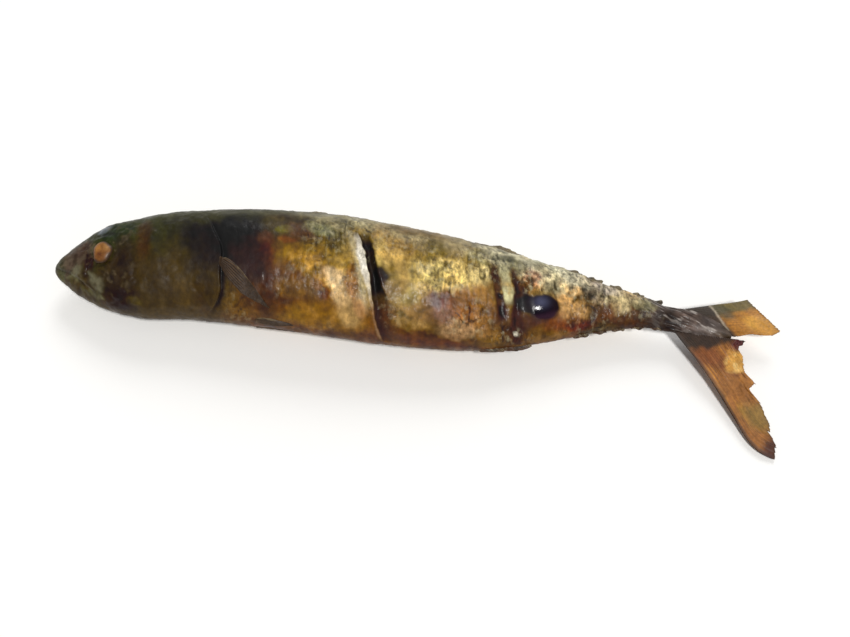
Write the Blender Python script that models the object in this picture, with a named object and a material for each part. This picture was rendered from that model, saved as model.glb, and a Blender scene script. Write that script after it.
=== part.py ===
"""A whole smoked mackerel that lies on its right flank: one closed solid, in metres, +Z up.

The head points to -X, the back to +Y and the left flank up. The skin is a surface of two
parameters: the station s, from 0 at the snout to 1 at the fork of the tail, and the angle phi
round the section, which is 0 on the back, a quarter turn on the left flank and a half turn on
the belly. The cuts follow that surface, and so do the fins, which are joined to it.
"""

import math

import bpy
import numpy as np

MM = 0.001

# Driving dimensions of the fish
FORK_LENGTH = 310 * MM  # from the snout to the fork of the tail
BODY_ROLL = math.radians(8)  # the back lies this much higher than the belly
PRESSED_FLAT = 1.0 * MM  # how far the resting flank must sink before it is quite flat
FLOOR_FILLET = 1.6 * MM  # softness of the turn from the flat patch to the round flank

# Profiles along the body: (station, share of the fork length)
DEPTH = (
    (0.000, 0.022), (0.030, 0.067), (0.062, 0.107), (0.126, 0.146), (0.220, 0.165),
    (0.340, 0.178), (0.440, 0.181), (0.540, 0.174), (0.630, 0.154), (0.700, 0.124),
    (0.790, 0.074), (0.860, 0.042), (0.917, 0.041), (0.960, 0.034), (1.000, 0.014),
)
WIDTH = (
    (0.000, 0.018), (0.030, 0.038), (0.070, 0.068), (0.120, 0.094), (0.200, 0.114),
    (0.300, 0.127), (0.420, 0.129), (0.540, 0.115), (0.660, 0.083), (0.750, 0.056),
    (0.830, 0.035), (0.890, 0.024), (0.940, 0.015), (1.000, 0.005),
)
ARCH = (  # how far the middle line swings towards the back
    (0.000, 0.000), (0.030, 0.003), (0.070, 0.005), (0.126, 0.0085), (0.210, 0.0155),
    (0.300, 0.0175), (0.400, 0.0145), (0.500, 0.0070), (0.600, 0.0015), (0.700, 0.0045),
    (0.790, 0.0060), (0.860, 0.0035), (0.917, -0.0020), (0.960, -0.0105), (1.000, -0.0210),
)
LIFT = (  # height of the middle line above the surface that the fish lies on
    (0.000, 0.042), (0.100, 0.047), (0.200, 0.0525), (0.300, 0.0565), (0.420, 0.0570),
    (0.520, 0.0540), (0.620, 0.0495), (0.720, 0.0450), (0.820, 0.0405), (0.920, 0.0350),
    (1.000, 0.0280),
)
NOSE_ROUND = 0.012  # share of the length over which the snout rounds off
BODY_END = 0.985  # the fleshy root of the tail ends here, between the lobes
EGG = 0.10  # how much wider the section is above its middle than below it

# Mesh density
HEAD_STATIONS = 19
BODY_STATIONS = 48
HEAD_END = 0.15
AROUND = 32

# The eyes
EYE_STATION, EYE_ANGLE = 0.072, math.radians(82)
EYE_RADIUS = 4.5 * MM
EYE_THICKNESS = 2.6 * MM
SOCKET_RADIUS = 5.4 * MM

# The mouth, a wedge cut through the snout
MOUTH_LENGTH = 20 * MM
MOUTH_DROOP = math.radians(21)
MOUTH_GAPE = 1.4 * MM

# The gill covers' rear edges and the knife cuts: stations at the back and at the belly
GILL = {"s": (0.218, 0.226), "bow": 0.022, "phi": (48, 160), "gape": 1.3 * MM, "depth": 2.0 * MM}
FRONT_CUT = {"s": (0.425, 0.478), "bow": 0.0, "phi": (57, 172), "gape": 4.4 * MM, "depth": 5.0 * MM}
REAR_CUT = {"s": (0.634, 0.664), "bow": 0.0, "phi": (60, 172), "gape": 4.4 * MM, "depth": 3.6 * MM}
CUT_FLOOR = 0.3  # width of a cut at its floor, as a share of its gape
CUT_STEPS = 16
ABOVE_SKIN = 1.5 * MM  # how far a cutter stands out of the skin

# Fins on the back (+1) and belly (-1): stations, height, and how far the tip leans back
FIN_STEPS = 7
FIN_BASE, FIN_EDGE = 1.5 * MM, 0.6 * MM  # thickness at the root and at the edge
FIN_SUNK = 2.0 * MM
FIRST_DORSAL = {"side": 1, "s": (0.300, 0.385), "height": 1.2 * MM, "lean": 2.0 * MM}
SECOND_DORSAL = {"side": 1, "s": (0.590, 0.668), "height": 1.8 * MM, "lean": 3.0 * MM}
ANAL = {"side": -1, "s": (0.610, 0.680), "height": 1.4 * MM, "lean": 3.0 * MM}
FINLETS = 5
FINLET_LENGTH, FINLET_LEAN = 0.021, 3.0 * MM
BACK_FINLETS = {"side": 1, "s": (0.735, 0.872), "height": 2.2 * MM}
BELLY_FINLETS = {"side": -1, "s": (0.745, 0.872), "height": 1.3 * MM}

# Fins that lie on the skin: stations, angle, and half the width
PECTORAL = {"s": (0.240, 0.314), "phi": 100, "half": 3.8 * MM, "sweep": 45}
PELVIC = {"s": (0.292, 0.352), "phi": 166, "half": 2.6 * MM, "sweep": 0}
LEAF_STEPS, LEAF_ACROSS = 9, 5
LEAF_RADIUS = 0.08 * FORK_LENGTH  # of the skin that a leaf follows round
LEAF_ABOVE, LEAF_BELOW = 0.9 * MM, 1.3 * MM

# The tail fin, in its own plane: "out" runs along the middle between the lobes, "up" to the back
TAIL_STATION = 0.917
TAIL_TURN = math.radians(-16.5)  # the tail is bent towards the belly
TAIL_DROOP = math.radians(-4)  # and hangs a little
TAIL_THICKNESS = 1.3 * MM
TAIL_OUTLINE = (  # (out, up) in mm: the lower lobe, the fork, then the upper lobe, broken off short
    (-4.0, -6.8), (19.5, -23.8), (41.5, -41.0), (49.5, -46.0), (55.0, -47.0), (55.7, -42.8),
    (53.3, -39.0), (50.0, -36.5), (50.4, -33.9), (43.0, -24.7), (37.2, -21.2), (36.0, -19.5),
    (39.0, -16.8), (33.0, -15.4), (29.4, -6.2), (26.3, -4.0), (28.8, 1.4), (25.7, 3.3),
    (33.0, 8.0), (39.7, 8.8), (42.7, 12.2), (23.7, 21.0), (-2.5, 5.5),
)


def through(points, s):
    """The smooth curve through (station, value) points, read at s: cubics with shared slopes."""
    at, value = np.array(points, float).T
    slope = np.gradient(value, at)
    i = np.clip(np.searchsorted(at, s, side="right") - 1, 0, len(at) - 2)
    step = at[i + 1] - at[i]
    t = (s - at[i]) / step
    return (
        (1 + 2 * t) * (1 - t) ** 2 * value[i]
        + t * (1 - t) ** 2 * step * slope[i]
        + t * t * (3 - 2 * t) * value[i + 1]
        + t * t * (t - 1) * step * slope[i + 1]
    )


def unit(v):
    return v / np.linalg.norm(v, axis=-1, keepdims=True)


def middle(s):
    """Points of the body's middle line."""
    return np.stack([s, through(ARCH, s), through(LIFT, s)], axis=-1) * FORK_LENGTH


def axes(s):
    """Unit vectors at stations s: towards the tail, towards the back and towards the left flank."""
    step = 0.002
    tail = unit(middle(s + step) - middle(s - step))
    flank = np.array([0, -math.sin(BODY_ROLL), math.cos(BODY_ROLL)])
    flank = unit(flank - (tail @ flank)[..., None] * tail)
    return tail, np.cross(flank, tail), flank


def on_the_floor(points):
    """Presses what would sink below the floor flat, with a soft turn at the patch's edge."""
    z = points[..., 2]
    soft = 0.5 * (z + np.sqrt(z * z + FLOOR_FILLET**2))
    least = 0.5 * (math.sqrt(PRESSED_FLAT**2 + FLOOR_FILLET**2) - PRESSED_FLAT)
    pressed = points.copy()
    pressed[..., 2] = np.maximum(soft - least, 0)
    return pressed


def round_skin(s, phi, out=0.0):
    """Points of the unpressed skin at stations s and angles phi, moved outwards by out."""
    s, phi = np.broadcast_arrays(np.asarray(s, float), np.asarray(phi, float))
    nose = np.sqrt(np.clip(s / NOSE_ROUND * (2 - s / NOSE_ROUND), 0, None))
    nose = np.where(s < NOSE_ROUND, nose, 1)
    depth = through(DEPTH, s) * nose * FORK_LENGTH / 2 + out
    width = through(WIDTH, s) * nose * FORK_LENGTH / 2 + out
    _, back, flank = axes(s)
    up = depth * np.cos(phi)
    side = width * np.sin(phi) * (1 + EGG * np.cos(phi))
    return middle(s) + up[..., None] * back + side[..., None] * flank


def skin(s, phi, out=0.0):
    """Points of the skin where the fish lies on a flat surface."""
    return on_the_floor(round_skin(s, phi, out))


def add_mesh(name, points, faces):
    mesh = bpy.data.meshes.new(name)
    mesh.from_pydata([tuple(p) for p in points], [], faces)
    mesh.validate()
    made = bpy.data.objects.new(name, mesh)
    bpy.context.scene.collection.objects.link(made)
    return made


def tube(name, rings):
    """A closed solid through rings of points, rings[i][j], with a flat cap at either end."""
    count, around = rings.shape[:2]
    faces = [
        (i * around + j, i * around + k, (i + 1) * around + k, (i + 1) * around + j)
        for i in range(count - 1)
        for j in range(around)
        for k in [(j + 1) % around]
    ]
    faces.append(tuple(range(around))[::-1])
    faces.append(tuple((count - 1) * around + j for j in range(around)))
    return add_mesh(name, rings.reshape(-1, 3), faces)


def helper(obj):
    """Marks an object that only cuts the fish, or is joined to it."""
    obj.hide_render = True
    obj.display_type = "WIRE"
    return obj


def body():
    """The head, trunk and tail stalk, lofted from the snout to the root of the tail fin."""
    head = HEAD_END * np.linspace(0.02, 1, HEAD_STATIONS) ** 1.5
    trunk = np.linspace(HEAD_END, BODY_END, BODY_STATIONS + 1)[1:]
    s = np.concatenate([head, trunk])
    phi = np.arange(AROUND) / AROUND * 2 * math.pi
    return tube("smoked_fish", skin(s[:, None], phi[None, :]))


def knife(name, side, cut):
    """A blade for a cut across one flank: side is +1 for the left flank and -1 for the right."""
    share = np.linspace(0, 1, CUT_STEPS)
    low, high = np.radians(cut["phi"])
    phi = side * (low + (high - low) * share)
    station = cut["s"][0] + (cut["s"][1] - cut["s"][0]) * share + cut["bow"] * np.sin(math.pi * share)
    mouth = cut["gape"] / 2 / FORK_LENGTH * np.sin(math.pi * share) ** 0.5 + 0.0004
    deep = cut["depth"] * np.sin(math.pi * share) ** 0.5 + 0.2 * MM
    corners = ((-1, ABOVE_SKIN), (1, ABOVE_SKIN), (CUT_FLOOR, -deep), (-CUT_FLOOR, -deep))
    rings = np.stack([round_skin(station + mouth * a, phi, out) for a, out in corners], axis=1)
    return helper(tube(name, rings if side < 0 else rings[:, ::-1]))


def mouth_wedge():
    """A wedge that parts the jaws, from in front of the snout back to the corner of the mouth."""
    snout = np.array(0.0)
    tip = middle(snout)
    tail, back, flank = axes(snout)
    along = math.cos(MOUTH_DROOP) * tail - math.sin(MOUTH_DROOP) * back
    across = math.sin(MOUTH_DROOP) * tail + math.cos(MOUTH_DROOP) * back
    reach = 30 * MM
    rings = []
    for out, gape in ((-3 * MM, MOUTH_GAPE), (MOUTH_LENGTH, 0.3 * MM)):
        centre = tip + along * out
        corners = ((-1, -1), (1, -1), (1, 1), (-1, 1))
        rings.append([centre + across * gape / 2 * a + flank * reach * b for a, b in corners])
    return helper(tube("mouth", np.array(rings)[:, ::-1]))


def eye_axes(side):
    """The eye's centre on the skin, and the direction in which it looks."""
    phi = side * EYE_ANGLE
    centre = skin(EYE_STATION, phi)
    step = 0.01
    along = skin(EYE_STATION + step, phi) - skin(EYE_STATION - step, phi)
    around = skin(EYE_STATION, phi + step) - skin(EYE_STATION, phi - step)
    return centre, unit(np.cross(around, along))


def ball(name, centre, look, radius, thickness, rings=10, around=20):
    """A ball flattened along look."""
    side = unit(np.cross(look, [1.0, 0.0, 0.0]))
    other = np.cross(look, side)
    lat = np.linspace(-0.48, 0.48, rings) * math.pi
    lon = np.arange(around) / around * 2 * math.pi
    flat = np.cos(lat)[:, None] * radius
    points = (
        centre
        + (flat * np.cos(lon))[..., None] * side
        + (flat * np.sin(lon))[..., None] * other
        + (np.sin(lat) * thickness)[:, None, None] * look
    )
    return helper(tube(name, points))


def eye(name, side):
    """The cooked eyeball, which bulges a little out of its socket."""
    centre, look = eye_axes(side)
    return ball(name, centre - 0.9 * MM * look, look, EYE_RADIUS, EYE_THICKNESS)


def socket(name, side):
    centre, look = eye_axes(side)
    return ball(name, centre + 1.0 * MM * look, look, SOCKET_RADIUS, EYE_THICKNESS)


def upright_fin(name, fin):
    """A fin in the fish's middle plane: it rises from the back or belly and leans to the tail."""
    share = np.linspace(0, 1, FIN_STEPS)
    s = fin["s"][0] + (fin["s"][1] - fin["s"][0]) * share
    phi = 0 if fin["side"] > 0 else math.pi
    tail, back, flank = axes(s)
    root = skin(s, phi, -FIN_SUNK)
    rise = FIN_SUNK + fin["height"] * np.sin(math.pi * np.clip(share * 0.8 + 0.2, 0, 1)) ** 0.7
    top = root + back * (fin["side"] * rise)[:, None] + tail * fin["lean"] * share[:, None]
    corners = [(root, FIN_BASE), (top, FIN_EDGE), (top, -FIN_EDGE), (root, -FIN_BASE)]
    rings = np.stack([points + flank * thick / 2 for points, thick in corners], axis=1)
    return helper(tube(name, rings if fin["side"] < 0 else rings[:, ::-1]))


def finlets(name, row):
    """The row of small fins between the second fin and the tail, each a low leaning triangle."""
    starts = np.linspace(row["s"][0], row["s"][1] - FINLET_LENGTH / 2, FINLETS)
    shrink = np.linspace(1, 0.75, FINLETS)
    return [
        upright_fin(
            f"{name}_{i + 1}",
            {
                "side": row["side"],
                "s": (start, start + FINLET_LENGTH * k),
                "height": row["height"] * k,
                "lean": FINLET_LEAN * k,
            },
        )
        for i, (start, k) in enumerate(zip(starts, shrink))
    ]


def lying_fin(name, side, fin):
    """A shrivelled fin stuck flat to the skin, a leaf with its root at the front."""
    share = np.linspace(0, 1, LEAF_STEPS)[:, None]
    across = np.linspace(-1, 1, LEAF_ACROSS)[None, :]
    s = fin["s"][0] + (fin["s"][1] - fin["s"][0]) * share + 0 * across
    half = fin["half"] / LEAF_RADIUS * (0.25 + 0.75 * np.sin(math.pi * share**0.8) ** 0.8)
    phi = side * (math.radians(fin["phi"]) + math.radians(fin["sweep"]) * share + half * across)
    above = skin(s, phi, LEAF_ABOVE)
    below = skin(s, phi, -LEAF_BELOW)
    rings = np.concatenate([above, below[:, ::-1]], axis=1)
    return helper(tube(name, rings if side > 0 else rings[:, ::-1]))


def tail_fin():
    """The forked tail fin: a thin plate in the fish's middle plane, bent towards the belly."""
    station = np.array(TAIL_STATION)
    root = middle(station)
    out = unit(np.array([math.cos(TAIL_TURN), math.sin(TAIL_TURN), math.sin(TAIL_DROOP)]))
    flank = axes(station)[2]
    flank = unit(flank - (out @ flank) * out)
    up = np.cross(flank, out)
    plan = np.array(TAIL_OUTLINE) * MM
    plate = root + plan[:, :1] * out + plan[:, 1:] * up
    half = flank * TAIL_THICKNESS / 2
    rings = np.array([plate - half, plate + half])
    rings[..., 2] = np.maximum(rings[..., 2], 0.2 * MM)  # the tip stays off the floor
    return helper(tube("tail_fin", rings))


def boolean(obj, operation, helpers):
    """Joins or cuts obj with each helper in turn."""
    for other in helpers:
        modifier = obj.modifiers.new(other.name, "BOOLEAN")
        modifier.operation = operation
        modifier.object = other


def smoked_skin():
    """Golden brown, oily skin."""
    material = bpy.data.materials.new("smoked_skin")
    material.use_nodes = True
    shader = material.node_tree.nodes["Principled BSDF"]
    shader.inputs["Base Color"].default_value = (0.33, 0.20, 0.06, 1)
    shader.inputs["Roughness"].default_value = 0.4
    return material


def settle(obj):
    """Applies the modifiers and sets the origin at the middle of the base."""
    graph = bpy.context.evaluated_depsgraph_get()
    solid = bpy.data.meshes.new_from_object(obj.evaluated_get(graph))
    obj.modifiers.clear()
    obj.data = solid
    points = np.empty(len(solid.vertices) * 3)
    solid.vertices.foreach_get("co", points)
    points = points.reshape(-1, 3)
    low, high = points.min(axis=0), points.max(axis=0)
    points -= [(low[0] + high[0]) / 2, (low[1] + high[1]) / 2, low[2]]
    solid.vertices.foreach_set("co", points.ravel())
    solid.update()


def main():
    for old in list(bpy.data.objects):
        bpy.data.objects.remove(old)
    fish = body()
    joined = [
        upright_fin("first_dorsal_fin", FIRST_DORSAL),
        upright_fin("second_dorsal_fin", SECOND_DORSAL),
        upright_fin("anal_fin", ANAL),
        *finlets("back_finlet", BACK_FINLETS),
        *finlets("belly_finlet", BELLY_FINLETS),
        tail_fin(),
    ]
    cutters = [mouth_wedge()]
    eyes = []
    joined.append(lying_fin("left_pectoral_fin", 1, PECTORAL))  # the right one is pressed flush
    for side, word in ((1, "left"), (-1, "right")):
        joined.append(lying_fin(f"{word}_pelvic_fin", side, PELVIC))
        cutters.append(knife(f"{word}_gill_edge", side, GILL))
        cutters.append(knife(f"{word}_front_cut", side, FRONT_CUT))
        cutters.append(knife(f"{word}_rear_cut", side, REAR_CUT))
        cutters.append(socket(f"{word}_eye_socket", side))
        eyes.append(eye(f"{word}_eye", side))
    boolean(fish, "UNION", joined)
    boolean(fish, "DIFFERENCE", cutters)
    boolean(fish, "UNION", eyes)
    fish.data.materials.append(smoked_skin())
    settle(fish)
    fish.data.shade_smooth()
    fish.data.set_sharp_from_angle(angle=math.radians(40))


main()
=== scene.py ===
"""The looks of a whole smoked mackerel that lies on its right flank, built round its CAD solid.

Lengths are in metres. As in the solid, the skin is a surface of two parameters: the station s
runs from 0 at the snout to 1 at the fork of the tail, and the angle goes round the section from
0 on the back over a quarter turn on the left flank to a half turn on the belly. Relief and
colour are worked out on that surface, with real sizes in millimetres.
"""

import math

import bpy
import numpy as np
from mathutils import Matrix, Vector


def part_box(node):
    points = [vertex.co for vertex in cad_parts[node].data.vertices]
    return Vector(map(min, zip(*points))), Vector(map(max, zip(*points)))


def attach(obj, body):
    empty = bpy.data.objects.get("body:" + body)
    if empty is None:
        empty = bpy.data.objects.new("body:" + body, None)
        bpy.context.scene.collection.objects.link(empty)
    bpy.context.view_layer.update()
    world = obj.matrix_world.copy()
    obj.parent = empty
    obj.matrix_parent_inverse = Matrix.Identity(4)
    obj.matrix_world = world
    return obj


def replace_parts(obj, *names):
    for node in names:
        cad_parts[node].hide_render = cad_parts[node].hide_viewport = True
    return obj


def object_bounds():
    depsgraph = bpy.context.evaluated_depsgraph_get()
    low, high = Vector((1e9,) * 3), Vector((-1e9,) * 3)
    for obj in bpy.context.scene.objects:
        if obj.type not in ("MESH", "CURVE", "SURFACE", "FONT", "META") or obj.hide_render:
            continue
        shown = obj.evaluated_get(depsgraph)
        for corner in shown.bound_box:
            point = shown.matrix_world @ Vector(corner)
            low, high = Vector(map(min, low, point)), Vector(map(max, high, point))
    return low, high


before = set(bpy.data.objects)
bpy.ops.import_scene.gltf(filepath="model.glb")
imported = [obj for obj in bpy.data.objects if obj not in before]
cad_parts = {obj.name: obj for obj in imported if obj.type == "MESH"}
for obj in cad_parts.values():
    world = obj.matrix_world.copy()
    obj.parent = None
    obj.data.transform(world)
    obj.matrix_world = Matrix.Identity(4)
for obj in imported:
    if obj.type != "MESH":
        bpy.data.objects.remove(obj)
cad_low, cad_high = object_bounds()

MM = 0.001

# ---------------------------------------------------------------- the solid's own dimensions
FORK_LENGTH = 310 * MM
BODY_ROLL = math.radians(8)
PRESSED_FLAT = 1.0 * MM
FLOOR_FILLET = 1.6 * MM
EGG = 0.10
NOSE_ROUND = 0.012
BODY_END = 0.985

DEPTH = (
    (0.000, 0.022), (0.030, 0.067), (0.062, 0.107), (0.126, 0.146), (0.220, 0.165),
    (0.340, 0.178), (0.440, 0.181), (0.540, 0.174), (0.630, 0.154), (0.700, 0.124),
    (0.790, 0.074), (0.860, 0.042), (0.917, 0.041), (0.960, 0.034), (1.000, 0.014),
)
WIDTH = (
    (0.000, 0.018), (0.030, 0.038), (0.070, 0.068), (0.120, 0.094), (0.200, 0.114),
    (0.300, 0.127), (0.420, 0.129), (0.540, 0.115), (0.660, 0.083), (0.750, 0.056),
    (0.830, 0.035), (0.890, 0.024), (0.940, 0.015), (1.000, 0.005),
)
ARCH = (
    (0.000, 0.000), (0.030, 0.003), (0.070, 0.005), (0.126, 0.0085), (0.210, 0.0155),
    (0.300, 0.0175), (0.400, 0.0145), (0.500, 0.0070), (0.600, 0.0015), (0.700, 0.0045),
    (0.790, 0.0060), (0.860, 0.0035), (0.917, -0.0020), (0.960, -0.0105), (1.000, -0.0210),
)
LIFT = (
    (0.000, 0.042), (0.100, 0.047), (0.200, 0.0525), (0.300, 0.0565), (0.420, 0.0570),
    (0.520, 0.0540), (0.620, 0.0495), (0.720, 0.0450), (0.820, 0.0405), (0.920, 0.0350),
    (1.000, 0.0280),
)
EYE_STATION, EYE_ANGLE = 0.072, math.radians(82)

# The gill covers' edges and the knife cuts: stations at the back and the belly, and angles
GILL = {"s": (0.218, 0.226), "bow": 0.022, "phi": (48, 160)}
FRONT_CUT = {"s": (0.425, 0.478), "bow": 0.0, "phi": (57, 172)}
REAR_CUT = {"s": (0.634, 0.664), "bow": 0.0, "phi": (60, 172)}

TAIL_STATION = 0.917
TAIL_TURN = math.radians(-16.5)
TAIL_DROOP = math.radians(-4)
TAIL_THICKNESS = 1.3 * MM
UPPER_TIP = (42.7, 12.2)  # mm out from the tail's root and up towards the back
LOWER_TIP = (55.0, -47.0)


def through(points, s):
    """The smooth curve through (station, value) points, read at s: cubics with shared slopes."""
    at, value = np.array(points, float).T
    slope = np.gradient(value, at)
    i = np.clip(np.searchsorted(at, s, side="right") - 1, 0, len(at) - 2)
    step = at[i + 1] - at[i]
    t = (s - at[i]) / step
    return (
        (1 + 2 * t) * (1 - t) ** 2 * value[i]
        + t * (1 - t) ** 2 * step * slope[i]
        + t * t * (3 - 2 * t) * value[i + 1]
        + t * t * (t - 1) * step * slope[i + 1]
    )


def unit(v):
    return v / np.linalg.norm(v, axis=-1, keepdims=True)


def middle(s):
    """The body's middle line, before the solid's origin is moved to the middle of its base."""
    return np.stack([s, through(ARCH, s), through(LIFT, s)], axis=-1) * FORK_LENGTH


def axes(s):
    """Unit vectors at stations s: towards the tail, towards the back and towards the left flank."""
    step = 0.002
    tail = unit(middle(s + step) - middle(s - step))
    flank = np.array([0, -math.sin(BODY_ROLL), math.cos(BODY_ROLL)])
    flank = unit(flank - (tail @ flank)[..., None] * tail)
    return tail, np.cross(flank, tail), flank


def tail_frame():
    """The tail fin's root, and its unit vectors out to the fork, up to the back and to the flank."""
    station = np.array(TAIL_STATION)
    out = unit(np.array([math.cos(TAIL_TURN), math.sin(TAIL_TURN), math.sin(TAIL_DROOP)]))
    flank = axes(station)[2]
    flank = unit(flank - (out @ flank) * out)
    return middle(station), out, np.cross(flank, out), flank


def solid_shift():
    """How far the solid's origin was moved, from where the tips of the tail's lobes reach."""
    root, out, up, flank = tail_frame()
    low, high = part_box("smoked_fish")
    far = root + (out * UPPER_TIP[0] + up * UPPER_TIP[1]) * MM
    deep = root + (out * LOWER_TIP[0] + up * LOWER_TIP[1]) * MM
    slant = np.abs(flank) * TAIL_THICKNESS / 2
    return np.array([high.x - slant[0] - far[0], low.y + slant[1] - deep[1], 0])


SHIFT = solid_shift()


def on_the_floor(points):
    """Presses what would sink below the floor flat, with a soft turn at the patch's edge."""
    z = points[..., 2]
    soft = 0.5 * (z + np.sqrt(z * z + FLOOR_FILLET**2))
    least = 0.5 * (math.sqrt(PRESSED_FLAT**2 + FLOOR_FILLET**2) - PRESSED_FLAT)
    pressed = points.copy()
    pressed[..., 2] = np.maximum(soft - least, 0)
    return pressed


def radii(s):
    """Half the depth and half the width of the section at stations s, rounded at both ends."""
    nose = np.clip(s / NOSE_ROUND, 0, 1)
    end = np.clip((BODY_END - s) / 0.016, 0, 1)
    rounded = np.sqrt(nose * (2 - nose)) * np.sqrt(end * (2 - end))
    return (
        through(DEPTH, s) * rounded * FORK_LENGTH / 2,
        through(WIDTH, s) * rounded * FORK_LENGTH / 2,
    )


def round_skin(s, phi):
    """An egg-shaped section round the middle line: up by the cosine, out by the sine of the angle."""
    s, phi = np.broadcast_arrays(np.asarray(s, float), np.asarray(phi, float))
    depth, width = radii(s)
    _, back, flank = axes(s)
    up = depth * np.cos(phi)
    side = width * np.sin(phi) * (1 + EGG * np.cos(phi))
    return middle(s) + up[..., None] * back + side[..., None] * flank + SHIFT


def outward(s, phi):
    """The skin's outward unit normals, by central differences along both parameters."""
    ds, dp = 0.0008, 0.01
    s = np.clip(s, 2 * ds, BODY_END - 2 * ds)
    along = round_skin(s + ds, phi) - round_skin(s - ds, phi)
    around = round_skin(s, phi + dp) - round_skin(s, phi - dp)
    return unit(np.cross(around, along))


# ---------------------------------------------------------------- noise and falloffs
def lattice(cells, seed):
    """A scrambled number from -1 to 1 for each whole-numbered cell of space."""
    h = cells[..., 0] * 73856093 ^ cells[..., 1] * 19349663 ^ cells[..., 2] * 83492791
    h = (h ^ seed * 2654435761) & 0xFFFFFFFF
    h = (h ^ h >> 15) * 2246822519 & 0xFFFFFFFF
    h = (h ^ h >> 13) * 3266489917 & 0xFFFFFFFF
    return (h >> 8) / 8388607.5 - 1


def noise(points, size, seed):
    """Smooth noise from -1 to 1: lattice values blended by a quintic. size is in mm, per axis."""
    p = points / (np.asarray(size, float) * MM) + 37.7 * seed
    cell = np.floor(p).astype(np.int64)
    f = p - cell
    f = f * f * f * (f * (f * 6 - 15) + 10)
    total = 0
    for corner in np.ndindex(2, 2, 2):
        share = np.prod(np.where(corner, f, 1 - f), axis=-1)
        total = total + share * lattice(cell + np.array(corner), seed)
    return total


def layered(points, size, seed, layers=3):
    """Noise with finer layers added, each half the size and strength of the one before."""
    size = np.asarray(size, float)
    total = sum(noise(points, size / 2**k, seed + k) / 2**k for k in range(layers))
    return total / (2 - 2.0 ** (1 - layers))


def ridged(points, size, seed, layers=2):
    """Creases: 1 along the lines where the noise crosses zero, falling to 0 away from them."""
    return 1 - np.clip(np.abs(layered(points, size, seed, layers)) * 2.2, 0, 1)


def hill(x, width):
    return np.exp(-((x / width) ** 2))


def ramp(x, low, high):
    """0 below low and 1 above high, with a smooth cubic between; high may be less than low."""
    t = np.clip((x - low) / (high - low), 0, 1)
    return t * t * (3 - 2 * t)


def linear(colour):
    """An sRGB hex colour as linear red, green and blue."""
    value = np.array([int(colour[i : i + 2], 16) for i in (1, 3, 5)]) / 255
    return np.where(value <= 0.04045, value / 12.92, ((value + 0.055) / 1.055) ** 2.4)


# ---------------------------------------------------------------- meshes
def piece(name, points, faces, material, slot, **attributes):
    """A smooth-shaded mesh object that rides on the fish, with a value for each point's attributes."""
    mesh = bpy.data.meshes.new(name)
    mesh.from_pydata(points.reshape(-1, 3), [], faces)
    mesh.validate()
    for key, value in attributes.items():
        kind = "FLOAT_COLOR" if value.shape[-1] == 4 and value.ndim > 1 else "FLOAT"
        field = "color" if kind == "FLOAT_COLOR" else "value"
        layer = mesh.attributes.new(key, kind, "POINT")
        layer.data.foreach_set(field, np.ascontiguousarray(value, dtype=np.float32).ravel())
    mesh.shade_smooth()
    mesh.materials.append(material)
    made = bpy.data.objects.new(name, mesh)
    bpy.context.scene.collection.objects.link(made)
    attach(made, "root")
    return made


def tube_faces(count, around):
    """Quads between neighbouring rings of points, and a flat cap at either end."""
    i, j = np.meshgrid(np.arange(count - 1), np.arange(around), indexing="ij")
    k = (j + 1) % around
    quads = np.stack([i * around + j, i * around + k, (i + 1) * around + k, (i + 1) * around + j], -1)
    caps = [list(range(around))[::-1], list(range((count - 1) * around, count * around))]
    return quads.reshape(-1, 4).tolist() + caps


def with_alpha(rgb):
    return np.concatenate([rgb, np.ones_like(rgb[..., :1])], axis=-1)


# ---------------------------------------------------------------- places on the skin
class Place:
    """Where each point of a grid lies on the skin: station, angle, and distances in mm."""

    def __init__(self, s, phi):
        self.s, self.phi = np.broadcast_arrays(s, phi)
        self.angle = (self.phi + math.pi) % (2 * math.pi) - math.pi  # -180 to 180 degrees
        self.side = np.abs(self.angle)  # the same on both flanks
        self.left = self.angle > 0
        depth, width = radii(self.s)
        self.reach = (depth + width) / 2 / MM  # the section's mean radius
        self.points = round_skin(self.s, self.phi)
        self.along = self.s * FORK_LENGTH / MM
        self.wobble = np.stack(
            [layered(self.points, 7, 3), layered(self.points, 7, 4)], axis=-1
        ) * 1.6 + np.stack([noise(self.points, 1.8, 5), noise(self.points, 1.8, 6)], axis=-1) * 0.5

    def offset(self, station, degrees, ragged=0.0):
        """Distances in mm from a place on the left flank: towards the tail, and towards the belly."""
        x = self.along - station * FORK_LENGTH / MM + self.wobble[..., 0] * ragged
        turn = (self.angle - math.radians(degrees) + math.pi) % (2 * math.pi) - math.pi
        return x, turn * self.reach + self.wobble[..., 1] * ragged

    def spot(self, station, degrees, length, height, tilt=0, soft=0.5, ragged=1.0):
        """1 inside an ellipse of this half length and height in mm, falling to 0 at its edge."""
        x, y = self.offset(station, degrees, ragged)
        c, sn = math.cos(math.radians(tilt)), math.sin(math.radians(tilt))
        r = np.hypot((x * c + y * sn) / length, (y * c - x * sn) / height)
        return ramp(r, 1 + soft, 1 - soft)

    def stroke(self, start, end, width, ragged=0.3):
        """1 on the straight line between two places, falling off by width mm on either side."""
        x, y = self.offset(*start, ragged)
        ex = (end[0] - start[0]) * FORK_LENGTH / MM
        ey = math.radians(end[1] - start[1]) * self.reach
        t = np.clip((x * ex + y * ey) / (ex * ex + ey * ey), 0, 1)
        taper = 0.35 + 0.65 * np.sin(math.pi * np.clip(t, 0.02, 0.98)) ** 0.5
        return hill(np.hypot(x - t * ex, y - t * ey), width * taper)

    def along_cut(self, cut):
        """Distance in mm towards the tail from a cut's line, and the share of the way down it."""
        low, high = np.radians(cut["phi"])
        share = (self.side - low) / (high - low)
        return self.along - cut_line(cut, self.side) * FORK_LENGTH / MM, share


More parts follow.
